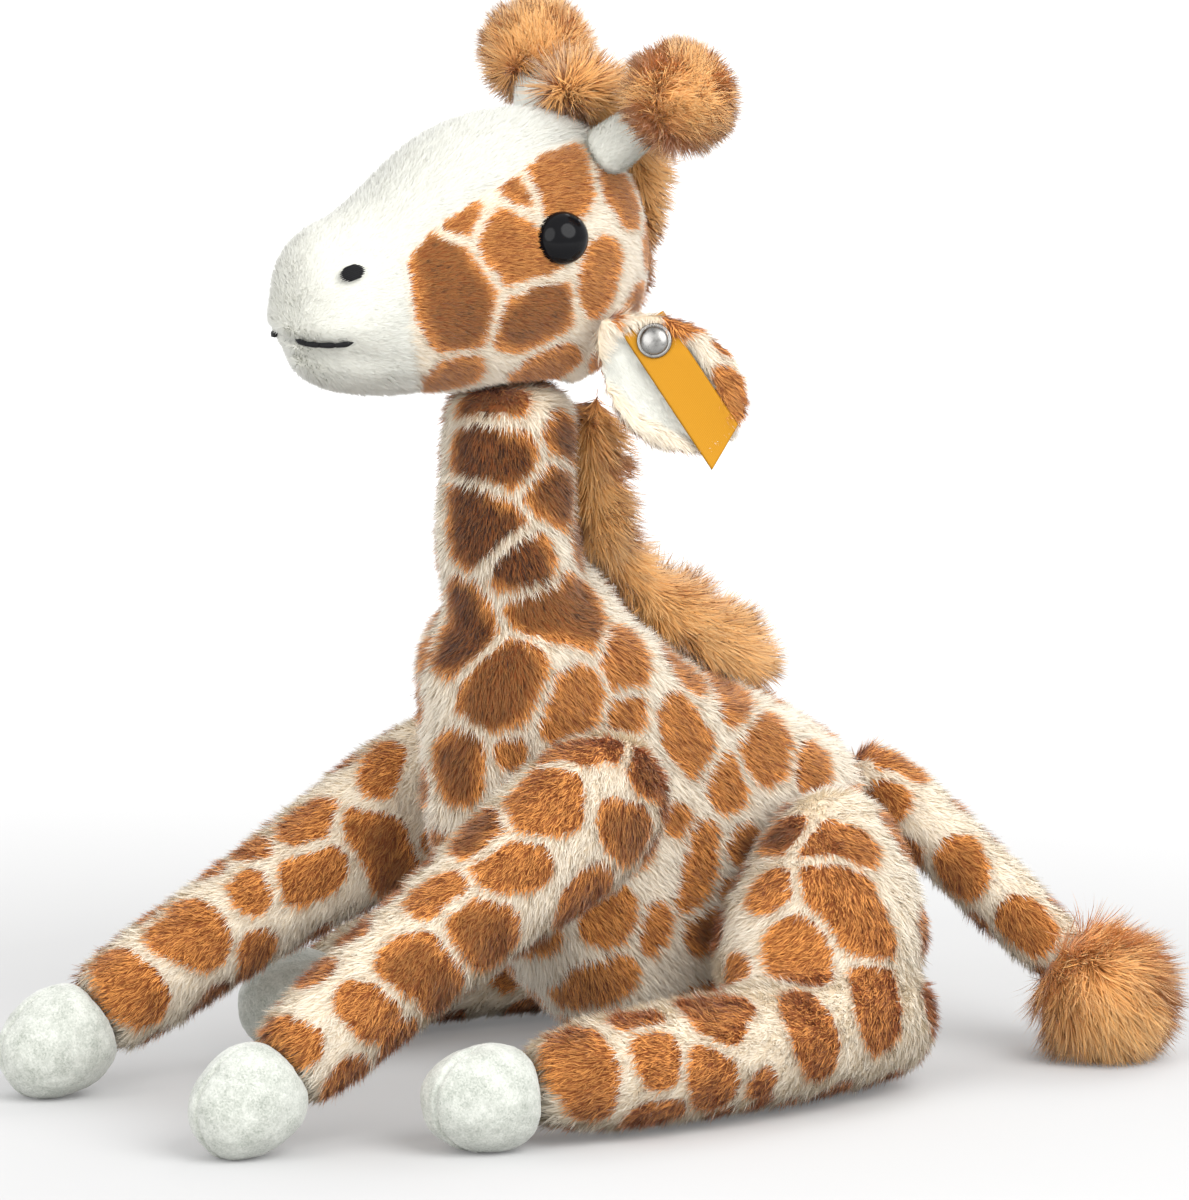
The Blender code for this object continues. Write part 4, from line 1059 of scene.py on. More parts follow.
class PileGraph(Graph):
    """Geometry nodes that grow a pile: strands lean as combed, stray, sway and gather into tufts."""

    def __init__(self) -> None:
        tree = bpy.data.node_groups.new("Pile", "GeometryNodeTree")
        for label, kind in PILE_INPUTS:
            tree.interface.new_socket(label, in_out="INPUT", socket_type="NodeSocket" + kind)
        tree.interface.new_socket("Geometry", in_out="OUTPUT", socket_type="NodeSocketGeometry")
        super().__init__(tree)
        self.given = self.add("NodeGroupInput").outputs
        self.grow()

    def kept_value(self, name: str, kind: str = "FLOAT") -> Socket:
        """What is stored on the cloth under a name."""
        return self.add("GeometryNodeInputNamedAttribute", {"Name": name}, data_type=kind).outputs[0]

    def chance(self, low: float | Place, high: float | Place, step: int, kind: str = "FLOAT") -> Socket:
        """A value by chance for each strand."""
        node = self.add("FunctionNodeRandomValue", data_type=kind)
        sockets = [s for s in node.inputs if s.enabled]
        sockets[0].default_value = low
        sockets[1].default_value = high
        self.tree.links.new(self.math("ADD", self.given["Seed"], float(step)), node.inputs["Seed"])
        return next(s for s in node.outputs if s.enabled)

    def all_ways(self, step: int) -> Socket:
        """A direction by chance for each strand."""
        return self.chance((-1, -1, -1), (1, 1, 1), step, "FLOAT_VECTOR")

    def direction(self) -> Socket:
        """Where each strand grows to."""
        given = self.given
        place = self.add("GeometryNodeInputPosition").outputs[0]
        lean = given["Lean"]
        rise = self.math("SUBTRACT", 1.0, lean)
        standing = self.vector("SCALE", self.kept_value("up", "FLOAT_VECTOR"), scale=rise)
        lying = self.vector("SCALE", self.kept_value("comb", "FLOAT_VECTOR"), scale=lean)
        stray = self.vector("SCALE", self.all_ways(1), scale=given["Jitter"])
        along = self.vector("ADD", self.vector("ADD", standing, lying), stray)
        waves = {"Vector": place, "Scale": self.math("DIVIDE", 1.0, given["Drift"]), "Detail": 2.0}
        lumps = self.add("ShaderNodeTexNoise", waves).outputs["Color"]
        lumps = self.vector("SUBTRACT", lumps, (0.5, 0.5, 0.5))
        sway = self.math("MULTIPLY", given["Sway"], NOISE_GAIN)
        sway = self.vector("SCALE", lumps, scale=sway)
        along = self.vector("NORMALIZE", self.vector("ADD", along, sway))
        cells = {"Vector": place, "Scale": self.math("DIVIDE", 1.0, given["Tuft"])}
        centre = self.add("ShaderNodeTexVoronoi", cells).outputs["Position"]
        pull = self.math("DIVIDE", given["Gather"], given["Length"])
        toward = self.vector("SCALE", self.vector("SUBTRACT", centre, place), scale=pull)
        return self.vector("NORMALIZE", self.vector("ADD", along, toward))

    def grow(self) -> None:
        """Lay out the whole tree."""
        given = self.given
        dense = self.math("MULTIPLY", given["Density"], 1 / MM**2)
        dense = self.math("MULTIPLY", dense, self.kept_value("fill"))
        spots = {"Mesh": given["Geometry"], "Density": dense, "Seed": given["Seed"]}
        spread = self.add("GeometryNodeDistributePointsOnFaces", spots)
        about = self.vector("SCALE", self.all_ways(2), scale=given["Curl"])
        facing = self.vector("ADD", self.kept_value("up", "FLOAT_VECTOR"), about)
        axes = {0: self.direction(), 1: facing}
        turn = self.add("FunctionNodeAxesToRotation", axes, primary_axis="Z", secondary_axis="Y")
        tall = self.math("MULTIPLY", given["Length"], self.kept_value("reach"))
        tall = self.math("MULTIPLY", tall, self.chance(*STRAND_LENGTHS, 3))
        wide = self.math("MULTIPLY", given["Width"], self.chance(*STRAND_WIDTHS, 4))
        size = self.add("ShaderNodeCombineXYZ", {"X": wide, "Y": tall, "Z": tall})
        strand = self.add("GeometryNodeObjectInfo", {"Object": given["Strand"]})
        strands = {
            "Points": spread.outputs["Points"], "Instance": strand.outputs["Geometry"],
            "Rotation": turn.outputs[0], "Scale": size.outputs[0],
        }
        grown = self.add("GeometryNodeInstanceOnPoints", strands)
        tint = {"Geometry": grown.outputs[0], "Name": "tint", "Value": self.chance(0.0, 1.0, 5)}
        tinted = self.add("GeometryNodeStoreNamedAttribute", tint, data_type="FLOAT", domain="INSTANCE")
        plain = self.add("GeometryNodeRealizeInstances", {"Geometry": tinted.outputs[0]})
        normal = self.add("GeometryNodeInputNormal").outputs[0]
        outward = self.vector("DOT_PRODUCT", normal, self.kept_value("up", "FLOAT_VECTOR"))
        inward = self.math("LESS_THAN", outward, 0.0)
        faced = self.add("GeometryNodeFlipFaces", {"Mesh": plain.outputs[0], "Selection": inward})
        cloth = {"Geometry": faced.outputs[0], "Material": given["Material"]}
        dressed = self.add("GeometryNodeSetMaterial", cloth)
        self.add("NodeGroupOutput", {0: dressed.outputs[0]})


def strand_shape(name: str, outline: Sequence[Place], bow: float = 0.0) -> Object:
    """A flat tapering strand of unit length.

    Args:
        name: Name of the object.
        outline: Rows of (share along, half width, bow).
        bow: Bow of the tip.

    Returns:
        The strand.
    """
    corners, along = [], []
    for share, half, bent in outline:
        corners += [(-half, bent, share), (half, bent, share)]
        along += [share, share]
    corners.append((0, bow, 1))
    along.append(1.0)
    faces = [(2 * i, 2 * i + 2, 2 * i + 3, 2 * i + 1) for i in range(len(outline) - 1)]
    last = 2 * (len(outline) - 1)
    faces.append((last, last + 2, last + 1))
    mesh = bpy.data.meshes.new(name)
    mesh.from_pydata(corners, [], faces)
    keep(mesh, "along", np.array(along))
    return linked(name, mesh)


class Grower:
    """Grows piles on covers and gives them soft normals and a baking map."""

    def __init__(self) -> None:
        self.group = PileGraph().tree
        items = [item for item in self.group.interface.items_tree if item.in_out == "INPUT"]
        self.sockets = {item.name: item.identifier for item in items}
        self.short = strand_shape("short_strand", ((0.0, 0.5, 0.0),))
        outline = ((0.0, 0.5, 0.0), (0.4, 0.46, 0.06), (0.75, 0.3, 0.20))
        self.long = strand_shape("long_strand", outline, 0.36)

    def grow(
        self, name: str, cloth: Object, coat: Coat, finish: Material, long: bool = False
    ) -> Object:
        """Grow one pile.

        Args:
            name: Name of the new piece.
            cloth: Cover whose mesh it grows on.
            coat: Kind of pile.
            finish: Material of the strands.
            long: Whether the strands need the longer, more bent shape.

        Returns:
            The pile as a plain mesh.
        """
        pile = linked(name, cloth.data.copy())
        strand = self.long if long else self.short
        nodes = pile.modifiers.new("Pile", "NODES")
        nodes.node_group = self.group
        values = {label: getattr(coat, label.lower()) for label in (*PILE_NUMBERS, "Seed")}
        values.update({"Strand": strand, "Material": finish})
        for label, value in values.items():
            nodes[self.sockets[label]] = value
        bpy.context.view_layer.update()
        baked(pile)
        mesh = pile.data
        count = len(strand.data.vertices)
        points = places(mesh)
        points[:, 2] = np.maximum(points[:, 2], FLOOR_CLEARANCE)
        put(mesh, points)
        self.map_strands(mesh, count)
        self.soften(mesh, count, coat.seed)
        strands = len(points) // count
        log.info("%s: %d strands, %d triangles", name, strands, strands * (count - 2))
        return pile

    @staticmethod
    def map_strands(mesh: Mesh, count: int) -> None:
        """Give each strand its own small cell of the baking map."""
        corner = np.empty(len(mesh.loops), np.int32)
        mesh.loops.foreach_get("vertex_index", corner)
        strand, part = corner // count, corner % count
        cells = max(1, math.ceil(math.sqrt(len(mesh.vertices) / count)))
        along = kept(mesh, "along")[corner]
        side = np.where(part == count - 1, 0.5, part % 2)
        across = (strand % cells + CELL_SIDE[0] + CELL_SIDE[1] * side) / cells
        up = (strand // cells + CELL_END[0] + CELL_END[1] * along) / cells
        layer = mesh.uv_layers.new(name=BAKE_MAP)
        layer.data.foreach_set("uv", np.stack([across, up], axis=1).astype(np.float32).ravel())

    @staticmethod
    def soften(mesh: Mesh, count: int, seed: int) -> None:
        """Turn the shading normals towards the cloth's, with a little chance for each strand."""
        rng = np.random.default_rng(seed)
        strands = len(mesh.vertices) // count
        stray = np.repeat(rng.normal(size=(strands, 3)), count, axis=0)
        along = kept(mesh, "along")[:, None]
        soft = unit(kept(mesh, "up") + NORMAL_STRAY * stray + NORMAL_COMB * along * kept(mesh, "comb"))
        mesh.shade_smooth()
        mesh.normals_split_custom_set_from_vertices(soft.astype(np.float32))


class Finishes:
    """The materials, one for each kind of surface."""

    def __init__(self) -> None:
        self.of = {
            Slot.SPOTTED: self.plush(SPOTTED),
            Slot.RUST: self.long_pile(LONG_PILE),
            Slot.CREAM: self.pale_plush(PALE),
            Slot.SUEDE: self.suede_cloth(SUEDE),
            Slot.RIBBON: self.satin(SATIN),
            Slot.EYE: self.grained(GLOSS, EYE_CLOUDS),
            Slot.WASHER: self.grained(PLASTIC, PLASTIC_GRAIN, 0.1, 0.1 * MM),
            Slot.THREAD: self.grained(THREAD, THREAD_PLIES, 0.4, 0.15 * MM),
            Slot.METAL: self.plated(PLATED),
            Slot.PELLETS: self.bag_cloth(BAG_CLOTH),
        }

    def clad(self, node: str, finish: Finish) -> None:
        """Give a solid that stays as it is its material."""
        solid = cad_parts[node]
        if not solid.material_slots:
            solid.data.materials.append(None)
        for slot in solid.material_slots:
            slot.material = self.of[finish.slot]

    @staticmethod
    def start(finish: Finish) -> tuple[Material, Graph, Node]:
        """A material with one shader, and the graph to add its colours to."""
        material = bpy.data.materials.new(finish.slot.value)
        material.use_nodes = True
        graph = Graph(material.node_tree)
        values = {
            "Roughness": finish.rough, "Specular IOR Level": finish.specular, "Metallic": finish.metallic,
            "Sheen Weight": finish.sheen, "Sheen Roughness": 0.6,
        }
        shader = graph.add("ShaderNodeBsdfPrincipled", values)
        graph.add("ShaderNodeOutputMaterial", {"Surface": shader.outputs[0]})
        return material, graph, shader

    @staticmethod
    def paint(
        g: Graph,
        shader: Node,
        colour: Socket,
        height: Socket | None = None,
        strength: float = 0.0,
        depth: float = 0.0,
    ) -> None:
        """Link a shader's colour and, if it has one, its relief.

        Args:
            g: The material's graph.
            shader: Its shader.
            colour: Colour of the surface.
            height: Height of the relief.
            strength: Strength of the relief.
            depth: Depth of the relief.
        """
        g.tree.links.new(colour, shader.inputs["Base Color"])
        if height is not None:
            bump = g.add("ShaderNodeBump", {"Height": height, "Strength": strength, "Distance": depth})
            g.tree.links.new(bump.outputs[0], shader.inputs["Normal"])

    def plush(self, finish: Finish) -> Material:
        """Spotted coat: cream ground, caramel patches, sooty middles, and painted shade that darkens the
        roots.
        """
        material, g, shader = self.start(finish)
        along, tint = g.number("along"), g.number("tint")
        stray = g.math("SUBTRACT", tint, 0.5)
        # Cream ground, darker towards the roots: painted shade in the pile. The cloth under the pile keeps no
        # 'along', so it takes the root colour: painted shade under the pile.
        ground = g.mix(along, finish.dark, finish.light)
        ground = g.mix(g.number("pale"), ground, g.mix(along, PALE.dark, PALE.light))
        near = g.math("ADD", FLECKS, g.math("MULTIPLY", stray, FLECK_CHANCE))
        near = g.math("MULTIPLY", g.number("halo"), near, True)
        ground = g.mix(near, ground, Tone.FLECK)
        lock = g.ramp(g.spread(LOCK_SIZE), *LOCK_NOISE, -LOCK_LIFT, LOCK_LIFT)
        # Patch strands run from rust at the roots to caramel at the tips: painted shade at the roots, with
        # random strands and locks on top
        warm = g.math("ADD", g.math("MULTIPLY", along, PATCH_ROOT_SHADE), g.math("MULTIPLY", stray, PATCH_CHANCE))
        patch = g.mix(g.math("ADD", g.math("ADD", warm, lock), PATCH_WARMTH, True), Tone.RUST, Tone.CARAMEL)
        dark = g.math("ADD", g.math("MULTIPLY", stray, SOOT_CHANCE), g.math("ADD", lock, SOOT_LEVEL))
        dark = g.math("MULTIPLY", g.number("soot"), dark, True)
        patch = g.mix(dark, patch, Tone.SOOT)
        edge = g.math("ADD", g.number("patch"), g.math("MULTIPLY", stray, EDGE_CHANCE))
        edge = g.math("ADD", g.math("MULTIPLY", g.math("SUBTRACT", edge, 0.5), EDGE_CONTRAST), 0.5, True)
        self.paint(g, shader, g.mix(edge, ground, patch))
        return material

    def long_pile(self, finish: Finish) -> Material:
        """Mane and tufts: roots darkened as painted shade, orange lengths, pale tips."""
        material, g, shader = self.start(finish)
        along, tint = g.number("along"), g.number("tint")
        stray = g.math("MULTIPLY", g.math("SUBTRACT", tint, 0.5), MANE_CHANCE)
        # Lengths lighten from dark roots to orange: painted shade at the roots and on the core, with random
        # strands
        lift = g.math("ADD", g.math("MULTIPLY", along, MANE_ROOT_SHADE), stray)
        colour = g.mix(g.math("ADD", lift, MANE_WARMTH, True), finish.dark, finish.light)
        tip = g.math("MULTIPLY", g.math("POWER", along, TIP_POWER), g.math("MULTIPLY", tint, TIP_LEVEL), True)
        self.paint(g, shader, g.mix(tip, colour, Tone.MANE_TIP))
        return material

    def pale_plush(self, finish: Finish) -> Material:
        """Short off-white pile of the horn stalks, darker towards the roots as painted shade."""
        material, g, shader = self.start(finish)
        stray = g.math("MULTIPLY", g.math("SUBTRACT", g.number("tint"), 0.5), STALK_CHANCE)
        # Darker towards the roots, with random strands: painted shade at the roots and on the cloth beneath
        self.paint(g, shader, g.mix(g.math("ADD", g.number("along"), stray, True), finish.dark, finish.light))
        return material

    def suede_cloth(self, finish: Finish) -> Material:
        """Mottled pale suede with a fine nap, whose raised parts are painted lighter as painted light."""
        material, g, shader = self.start(finish)
        nap = g.spread(SUEDE_NAP)
        colour = g.mix(g.ramp(g.spread(SUEDE_CLOUDS, 4.0, 0.7), 0.36, 0.66), finish.dark, finish.light)
        # The nap's raised parts, the same noise as its relief, are mixed towards white: painted light on the
        # nap
        colour = g.mix(g.ramp(nap, 0.36, 0.64, 0.0, 0.5), colour, Tone.WHITE)
        speck = g.ramp(g.spread(SUEDE_SPECKS, 4.0, 0.75), 0.54, 0.66, 0.0, 0.55)
        colour = g.mix(speck, colour, finish.dark)
        self.paint(g, shader, colour, nap, 0.5, 0.35 * MM)
        return material

    def satin(self, finish: Finish) -> Material:
        """Woven satin ribbon: fine cross ribs on the ribbon's own map, darker in their hollows as painted
        shade.
        """
        material, g, shader = self.start(finish)
        own = g.add("ShaderNodeUVMap", uv_map="ribbon").outputs[0]
        weft, warp = g.wave(own, 14.0, "Y", 0.4), g.wave(own, 9.0, "X", 0.2)
        height = g.math("ADD", weft, g.math("MULTIPLY", warp, 0.6))
        # The ribs' hollows take the darker colour: painted shade in the weave
        colour = g.mix(g.math("MULTIPLY", height, 0.5, True), finish.dark, finish.light)
        self.paint(g, shader, colour, height, 0.25, 0.12 * MM)
        return material

    def grained(
        self, finish: Finish, size: float, strength: float = 0.0, depth: float = 0.0
    ) -> Material:
        """Clouds of one size in two colours, with relief on all but the eyes; where there is relief, its low
        parts take the darker colour as painted shade.

        Args:
            finish: What it is made of.
            size: Size of the grain.
            strength: Strength of its relief.
            depth: Depth of its relief.

        Returns:
            The material.
        """
        material, g, shader = self.start(finish)
        grain = g.spread(size)
        # Random clouds of tone; where the same clouds make relief, their low parts are the darker colour,
        # which is painted shade
        colour = g.mix(grain, finish.dark, finish.light)
        self.paint(g, shader, colour, grain if strength else None, strength, depth)
        return material

    def plated(self, finish: Finish) -> Material:
        """Plated metal with dulled spots."""
        material, g, shader = self.start(finish)
        dull = g.spread(METAL_SPOTS, 4.0)
        self.paint(g, shader, g.mix(dull, finish.dark, finish.light))
        g.tree.links.new(g.ramp(dull, 0.3, 0.7, 0.18, 0.42), shader.inputs["Roughness"])
        return material

    def bag_cloth(self, finish: Finish) -> Material:
        """Plain weave of the pellet bag, darker in the hollows of the weave as painted shade."""
        material, g, shader = self.start(finish)
        place = g.add("ShaderNodeTexCoord").outputs["Object"]
        weave = g.math("MAXIMUM", *(g.wave(place, BAG_WEAVE, way) for way in ("X", "Z")))
        # The weave's hollows take the darker colour: painted shade in the weave
        self.paint(g, shader, g.mix(weave, finish.dark, finish.light), weave, 0.3, 0.2 * MM)
        return material


def lathe(name: str, profile: Sequence[Range], foot: Vector, axis: Vector, sides: int) -> Object:
    """Turn a body about an axis.

    Args:
        name: Name of the piece.
        profile: Rows of (radius, height).
        foot: Place of height 0.
        axis: Direction of the height.
        sides: Steps round the axis.

    Returns:
        The new object.
    """
    shape = bmesh.new()
    rings = []
    for radius, height in profile:
        if radius < WELD:
            rings.append([shape.verts.new((0, 0, height))] * sides)
            continue
        angles = [2 * math.pi * i / sides for i in range(sides)]
        rings.append([shape.verts.new((radius * math.cos(a), radius * math.sin(a), height)) for a in angles])
    for low, high in zip(rings[:-1], rings[1:]):
        for i in range(sides):
            corners = [low[i], low[(i + 1) % sides], high[(i + 1) % sides], high[i]]
            shape.faces.new(list(dict.fromkeys(corners)))
    turn = axis.normalized().to_track_quat("Z", "Y").to_matrix().to_4x4()
    bmesh.ops.transform(shape, matrix=Matrix.Translation(foot) @ turn, verts=shape.verts)
    return from_shape(name, shape)


def tube(shape: BMesh, path: Array, radius: float, sides: int, pinch: float = 0.0) -> None:
    """Add a closed round-ended tube along a path, pinched where its stitches go down."""
    rings = []
    count = len(path)
    for i, middle in enumerate(path):
        toward = Vector(unit_of(*(path[min(i + 1, count - 1)] - path[max(i - 1, 0)])))
        side = toward.orthogonal().normalized()
        other = toward.cross(side)
        end = min(i, count - 1 - i)
        share = min(1, (end + TUBE_TIP) / TUBE_END_STEPS)
        wide = radius * (math.sin(math.pi / 2 * share) if end < TUBE_END_STEPS else 1)
        wide *= 1 - pinch * (0.5 + 0.5 * math.cos(2 * math.pi * i / STITCH_STEPS))
        angles = [2 * math.pi * k / sides for k in range(sides)]
        spokes = [math.cos(a) * side + math.sin(a) * other for a in angles]
        rings.append([shape.verts.new(Vector(middle) + wide * spoke) for spoke in spokes])
    for low, high in zip(rings[:-1], rings[1:]):
        for k in range(sides):
            shape.faces.new((low[k], low[(k + 1) % sides], high[(k + 1) % sides], high[k]))
    shape.faces.new(list(reversed(rings[0])))
    shape.faces.new(rings[-1])


def from_shape(name: str, shape: BMesh) -> Object:
    """Turn a working mesh into a smooth object."""
    bmesh.ops.recalc_face_normals(shape, faces=shape.faces)
    mesh = bpy.data.meshes.new(name)
    shape.to_mesh(mesh)
    shape.free()
    mesh.shade_smooth()
    return linked(name, mesh)


def node_places(node: str) -> Array:
    """Vertex places of a solid, each once."""
    return np.unique(places(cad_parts[node].data).round(7), axis=0)


def main_axes(points: Array) -> tuple[Array, Array]:
    """Middle of some places' extents, and their axes from the longest to the shortest as rows."""
    _, axes = np.linalg.eigh(np.cov((points - points.mean(axis=0)).T))
    axes = axes[:, ::-1].T
    run = points @ axes.T
    return (run.min(axis=0) + run.max(axis=0)) / 2 @ axes, axes


def evenly(path: Array, count: int) -> Array:
    """More places along a path, by straight steps."""
    steps = np.linspace(0, len(path) - 1, count)
    return np.stack([np.interp(steps, np.arange(len(path)), path[:, k]) for k in range(3)], axis=1)


def nearest_on(points: Array, path: Array) -> tuple[Array, Array]:
    """Distance of each place to a path, and the nearest place on it."""
    best = np.full(len(points), FAR)
    spot = points.copy()
    for start, end in zip(path[:-1], path[1:]):
        away, there = on_stretch(points, start, end)
        closer = away < best
        best = np.where(closer, away, best)
        spot[closer] = there[closer]
    return best, spot


def thread_line(node: str, reach: float = 1.6 * MM) -> Array:
    """The middle line of a stitched thread's solid, from the toy's front backwards."""
    points = node_places(node)
    middle, axes = main_axes(points)
    run = (points - middle) @ axes[0]
    near = [np.abs(run - spot) < reach for spot in np.linspace(run.min(), run.max(), THREAD_SPOTS)]
    line = np.array([points[some].mean(axis=0) for some in near if some.any()])
    return line if line[0][1] < line[-1][1] else line[::-1]


def mouth_line() -> Array:
    """The middle line of both halves of the mouth's stitches, from the left corner to the right one."""
    return np.vstack([thread_line("left_mouth_stitch")[::-1], thread_line("right_mouth_stitch")])


def mirrored(points: Array) -> Array:
    """Places on the left side at the height and depth of places on either side."""
    left = points.copy()
    left[:, 0] = MIDDLE + np.abs(points[:, 0] - MIDDLE)
    return left


@dataclass(frozen=True)
class Bend:
    """Where a cover passes to a second body.

    Attributes:
        body: The second body.
        start: Place up to which the first body holds it.
        end: Place from which the second body holds it.
    """

    body: str
    start: Place
    end: Place


NECK_BEND = Bend("neck", (-0.0014, -0.008, 0.097), (-0.0014, -0.017, 0.127))


@dataclass
class Hair:
    """A piece of long pile around a small stuffed core.

    Attributes:
        name: Name of the piece.
        nodes: Solids that it replaces.
        coat: Pile that grows on it.
        path: Places that the pile is combed along.
        shrink: Size of the core as a share of the solids'.
        inset: How far the core lies under the solids' surface.
        tubes: Further paths of the core, each with its radius.
        grain: Grain of the core's surface.
        rounds: Rounds of evening it out.
        reach: Share of the pile's length at each place.
        swirl: How far its locks turn away from the path.
    """

    name: str
    nodes: tuple[str, ...]
    coat: Coat
    path: Sequence[Place]
    shrink: float = 1.0
    inset: float = 0.0
    tubes: Tubes = ()
    grain: float = 2 * MM
    rounds: int = 4
    reach: Callable[[Array], Array] | None = None
    swirl: float = 0.9


@dataclass
class Piece:
    """What every sub-assembly shares: the finishes and the means to grow pile."""

    finishes: Finishes
    grower: Grower

    def build(self) -> None:
        """Make the sub-assembly."""
        raise NotImplementedError

    def wear(self, thing: Object, finish: Finish, body: str, bend: Bend | None = None) -> None:
        """Give a piece its material and join it to its body; with a bend it is left unjoined and only its
        place is fixed into its mesh.

        Args:
            thing: The piece.
            finish: What it is made of.
            body: Body that holds it.
            bend: Where it passes to a second body, if it does.
        """
        thing.data.materials.clear()
        thing.data.materials.append(self.finishes.of[finish.slot])
        if bend:
            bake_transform(thing)
        else:
            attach(thing, body)

    def dress(self, cover: Cover, body: str, bend: Bend | None = None, finish: Finish = SPOTTED) -> None:
        """Grow a cover's pile, and join both to their body unless a bend is given."""
        pile = self.grower.grow(cover.name + "_pile", cover.skin, cover.coat, self.finishes.of[finish.slot])
        for thing in (cover.skin, pile):
            self.wear(thing, finish, body, bend)
        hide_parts(*cover.nodes)

    def grow_hair(self, hair: Hair, body: str, bend: Bend | None = None, fill: float = 0.6) -> None:
        """Make a core and its long pile, and join both to their body unless a bend is given."""
        core = joined(hair.name + "_core", hair.nodes, hair.tubes)
        remeshed(core, hair.grain)
        mesh = core.data
        points = relaxed(places(mesh), mesh, hair.rounds)
        middle = (points.min(axis=0) + points.max(axis=0)) / 2
        put(mesh, middle + (points - middle) * hair.shrink)
        put(mesh, places(mesh) - normals(mesh) * hair.inset)
        mesh.shade_smooth()
        points, up = places(mesh), normals(mesh)
        keep(mesh, "up", up)
        turns = np.stack([ripple(points, SWIRL_SIZE, seed) for seed in SWIRL_SEEDS], axis=1)
        keep(mesh, "comb", flat_to(flow(points, hair.path) + hair.swirl * turns, up))
        keep(mesh, "reach", hair.reach(points) if hair.reach else np.ones(len(points)))
        keep(mesh, "fill", np.ones(len(points)))
        pile = self.grower.grow(hair.name, core, hair.coat, self.finishes.of[Slot.RUST], True)
        for thing in (core, pile):
            self.wear(thing, LONG_PILE, body, bend)
        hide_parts(*hair.nodes)


@dataclass
class Trunk(Piece):
    """Torso and neck under one cover."""

    inset: float = 1.3 * MM
    swell: float = 0.8 * MM
    spacing: float = 15 * MM

    def build(self) -> None:
        """Make the cover, its spots and its pile."""
        nodes = ("torso", "neck")
        cover = Cover("torso_cover", nodes, TRUNK_PATH, BODY_COAT, inset=self.inset, swell=self.swell)
        cover.make()
        Markings(cover, True, self.spacing, 3).paint()
        self.dress(cover, "torso", NECK_BEND)


@dataclass
class Head(Piece):
    """Head and muzzle under one cover, with a lip crease and the seam round the pale face."""

    inset: float = 0.9 * MM
    swell: float = 0.4 * MM
    crease_depth: float = 1.3 * MM
    crease_half: float = 1.5 * MM
    lip_rise: float = 0.9 * MM
    chin_sink: float = 1.3 * MM
    groove_depth: float = 0.5 * MM
    groove_pixels: float = 5.0
    mouth_reach: float = 9 * MM
    lip: Range = (5 * MM, 3.5 * MM)
    chin: Range = (-5 * MM, 4 * MM)
    muzzle_seam: float = -0.063
    muzzle_blend: Range = (-8 * MM, 6 * MM)
    muzzle_cut: float = 0.35
    pale_edge: Range = (-8, 6)
    spotless: float = -3
    eye_trim: tuple[float, float, float] = (5.6 * MM, 8.5 * MM, 0.35)
    nostril_trim: tuple[float, float, float] = (2.2 * MM, 6 * MM, 0.3)
    mouth_trim: tuple[float, float, float] = (0.5 * MM, 3 * MM, 0.82)
    mouth_spots: int = 24
    spacing: float = 14 * MM

    def build(self) -> None:
        """Make the cover, its face, its spots and its pile."""
        cover = Cover(
            "head_cover", ("head", "muzzle"), HEAD_PATH, FACE_COAT,
            voxel=2.4 * MM, inset=self.inset, swell=self.swell, rounds=1, splits=1,
        )
        cover.make()
        mesh = cover.skin.data
        self.shape_face(mesh)
        cover.comb()
        points = places(mesh)
        Markings(cover, True, self.spacing, 5, blank=lambda p: pale_face(p) > self.spotless).paint()
        keep(mesh, "pale", smoothstep(*self.pale_edge, pale_face(points)))
        low, high = [self.muzzle_seam + step for step in self.muzzle_blend]
        muzzle = 1 - smoothstep(low, high, points[:, 1])
        scale(mesh, "reach", 1 - self.muzzle_cut * muzzle)
        for side, _ in SIDES:
            cover.trim(EYE_PLACE[side], *self.eye_trim)
            nostril, _ = main_axes(node_places(side + "_nostril"))
            cover.trim(nostril, *self.nostril_trim)
        for spot in evenly(mouth_line(), self.mouth_spots):
            cover.trim(spot, *self.mouth_trim)
        self.dress(cover, "head")

    def shape_face(self, mesh: Mesh) -> None:
        """Press in the mouth's crease and the seam of the pale face, and round the lip above the chin."""
        points, up = places(mesh), normals(mesh)
        away, spot = nearest_on(points, mouth_line())
        rise = points[:, 2] - spot[:, 2]
        near = bell(away, self.mouth_reach)
        depth = -self.crease_depth * bell(away, self.crease_half)
        depth += self.lip_rise * bell(rise, self.lip[1], self.lip[0]) * near
        depth -= self.chin_sink * bell(rise, self.chin[1], self.chin[0]) * near
        depth -= self.groove_depth * bell(pale_face(points), self.groove_pixels)
        put(mesh, points + up * depth[:, None])


@dataclass
class Eyes(Piece):
    """Domed eyes with a narrow rim, their shanks and washers."""

    radius: float = 6.8 * MM
    dome: float = 5.6 * MM
    rim: float = 0.6 * MM
    base: float = 0.97
    shank: float = 12.5 * MM
    shank_half: float = 1.6 * MM
    rings: int = 16
    sides: int = 64

    def build(self) -> None:
        """Make both eyes."""
        arc = [math.pi / 2 * i / self.rings for i in range(self.rings + 1)]
        profile = [(0.0, -self.shank), (self.shank_half, -self.shank), (self.shank_half, 0.0)]
        profile.append((self.radius * self.base, 0.0))
        rise = self.dome - self.rim
        profile += [(self.radius * math.cos(a), self.rim + rise * math.sin(a)) for a in arc[:-1]]
        profile.append((0.0, self.dome))
        for side, sign in SIDES:
            axis = Vector((EYE_AXIS[0] * sign, *EYE_AXIS[1:])).normalized()
            points = node_places(side + "_eye")
            line = points.mean(axis=0)
            foot = Vector(line) + axis * ((points @ np.array(axis)).max() - self.dome - line @ np.array(axis))
            eye = lathe(side + "_eye_dome", profile, foot, axis, self.sides)
            self.wear(eye, GLOSS, "head")
            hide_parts(side + "_eye")
            self.finishes.clad(side + "_eye_washer", PLASTIC)


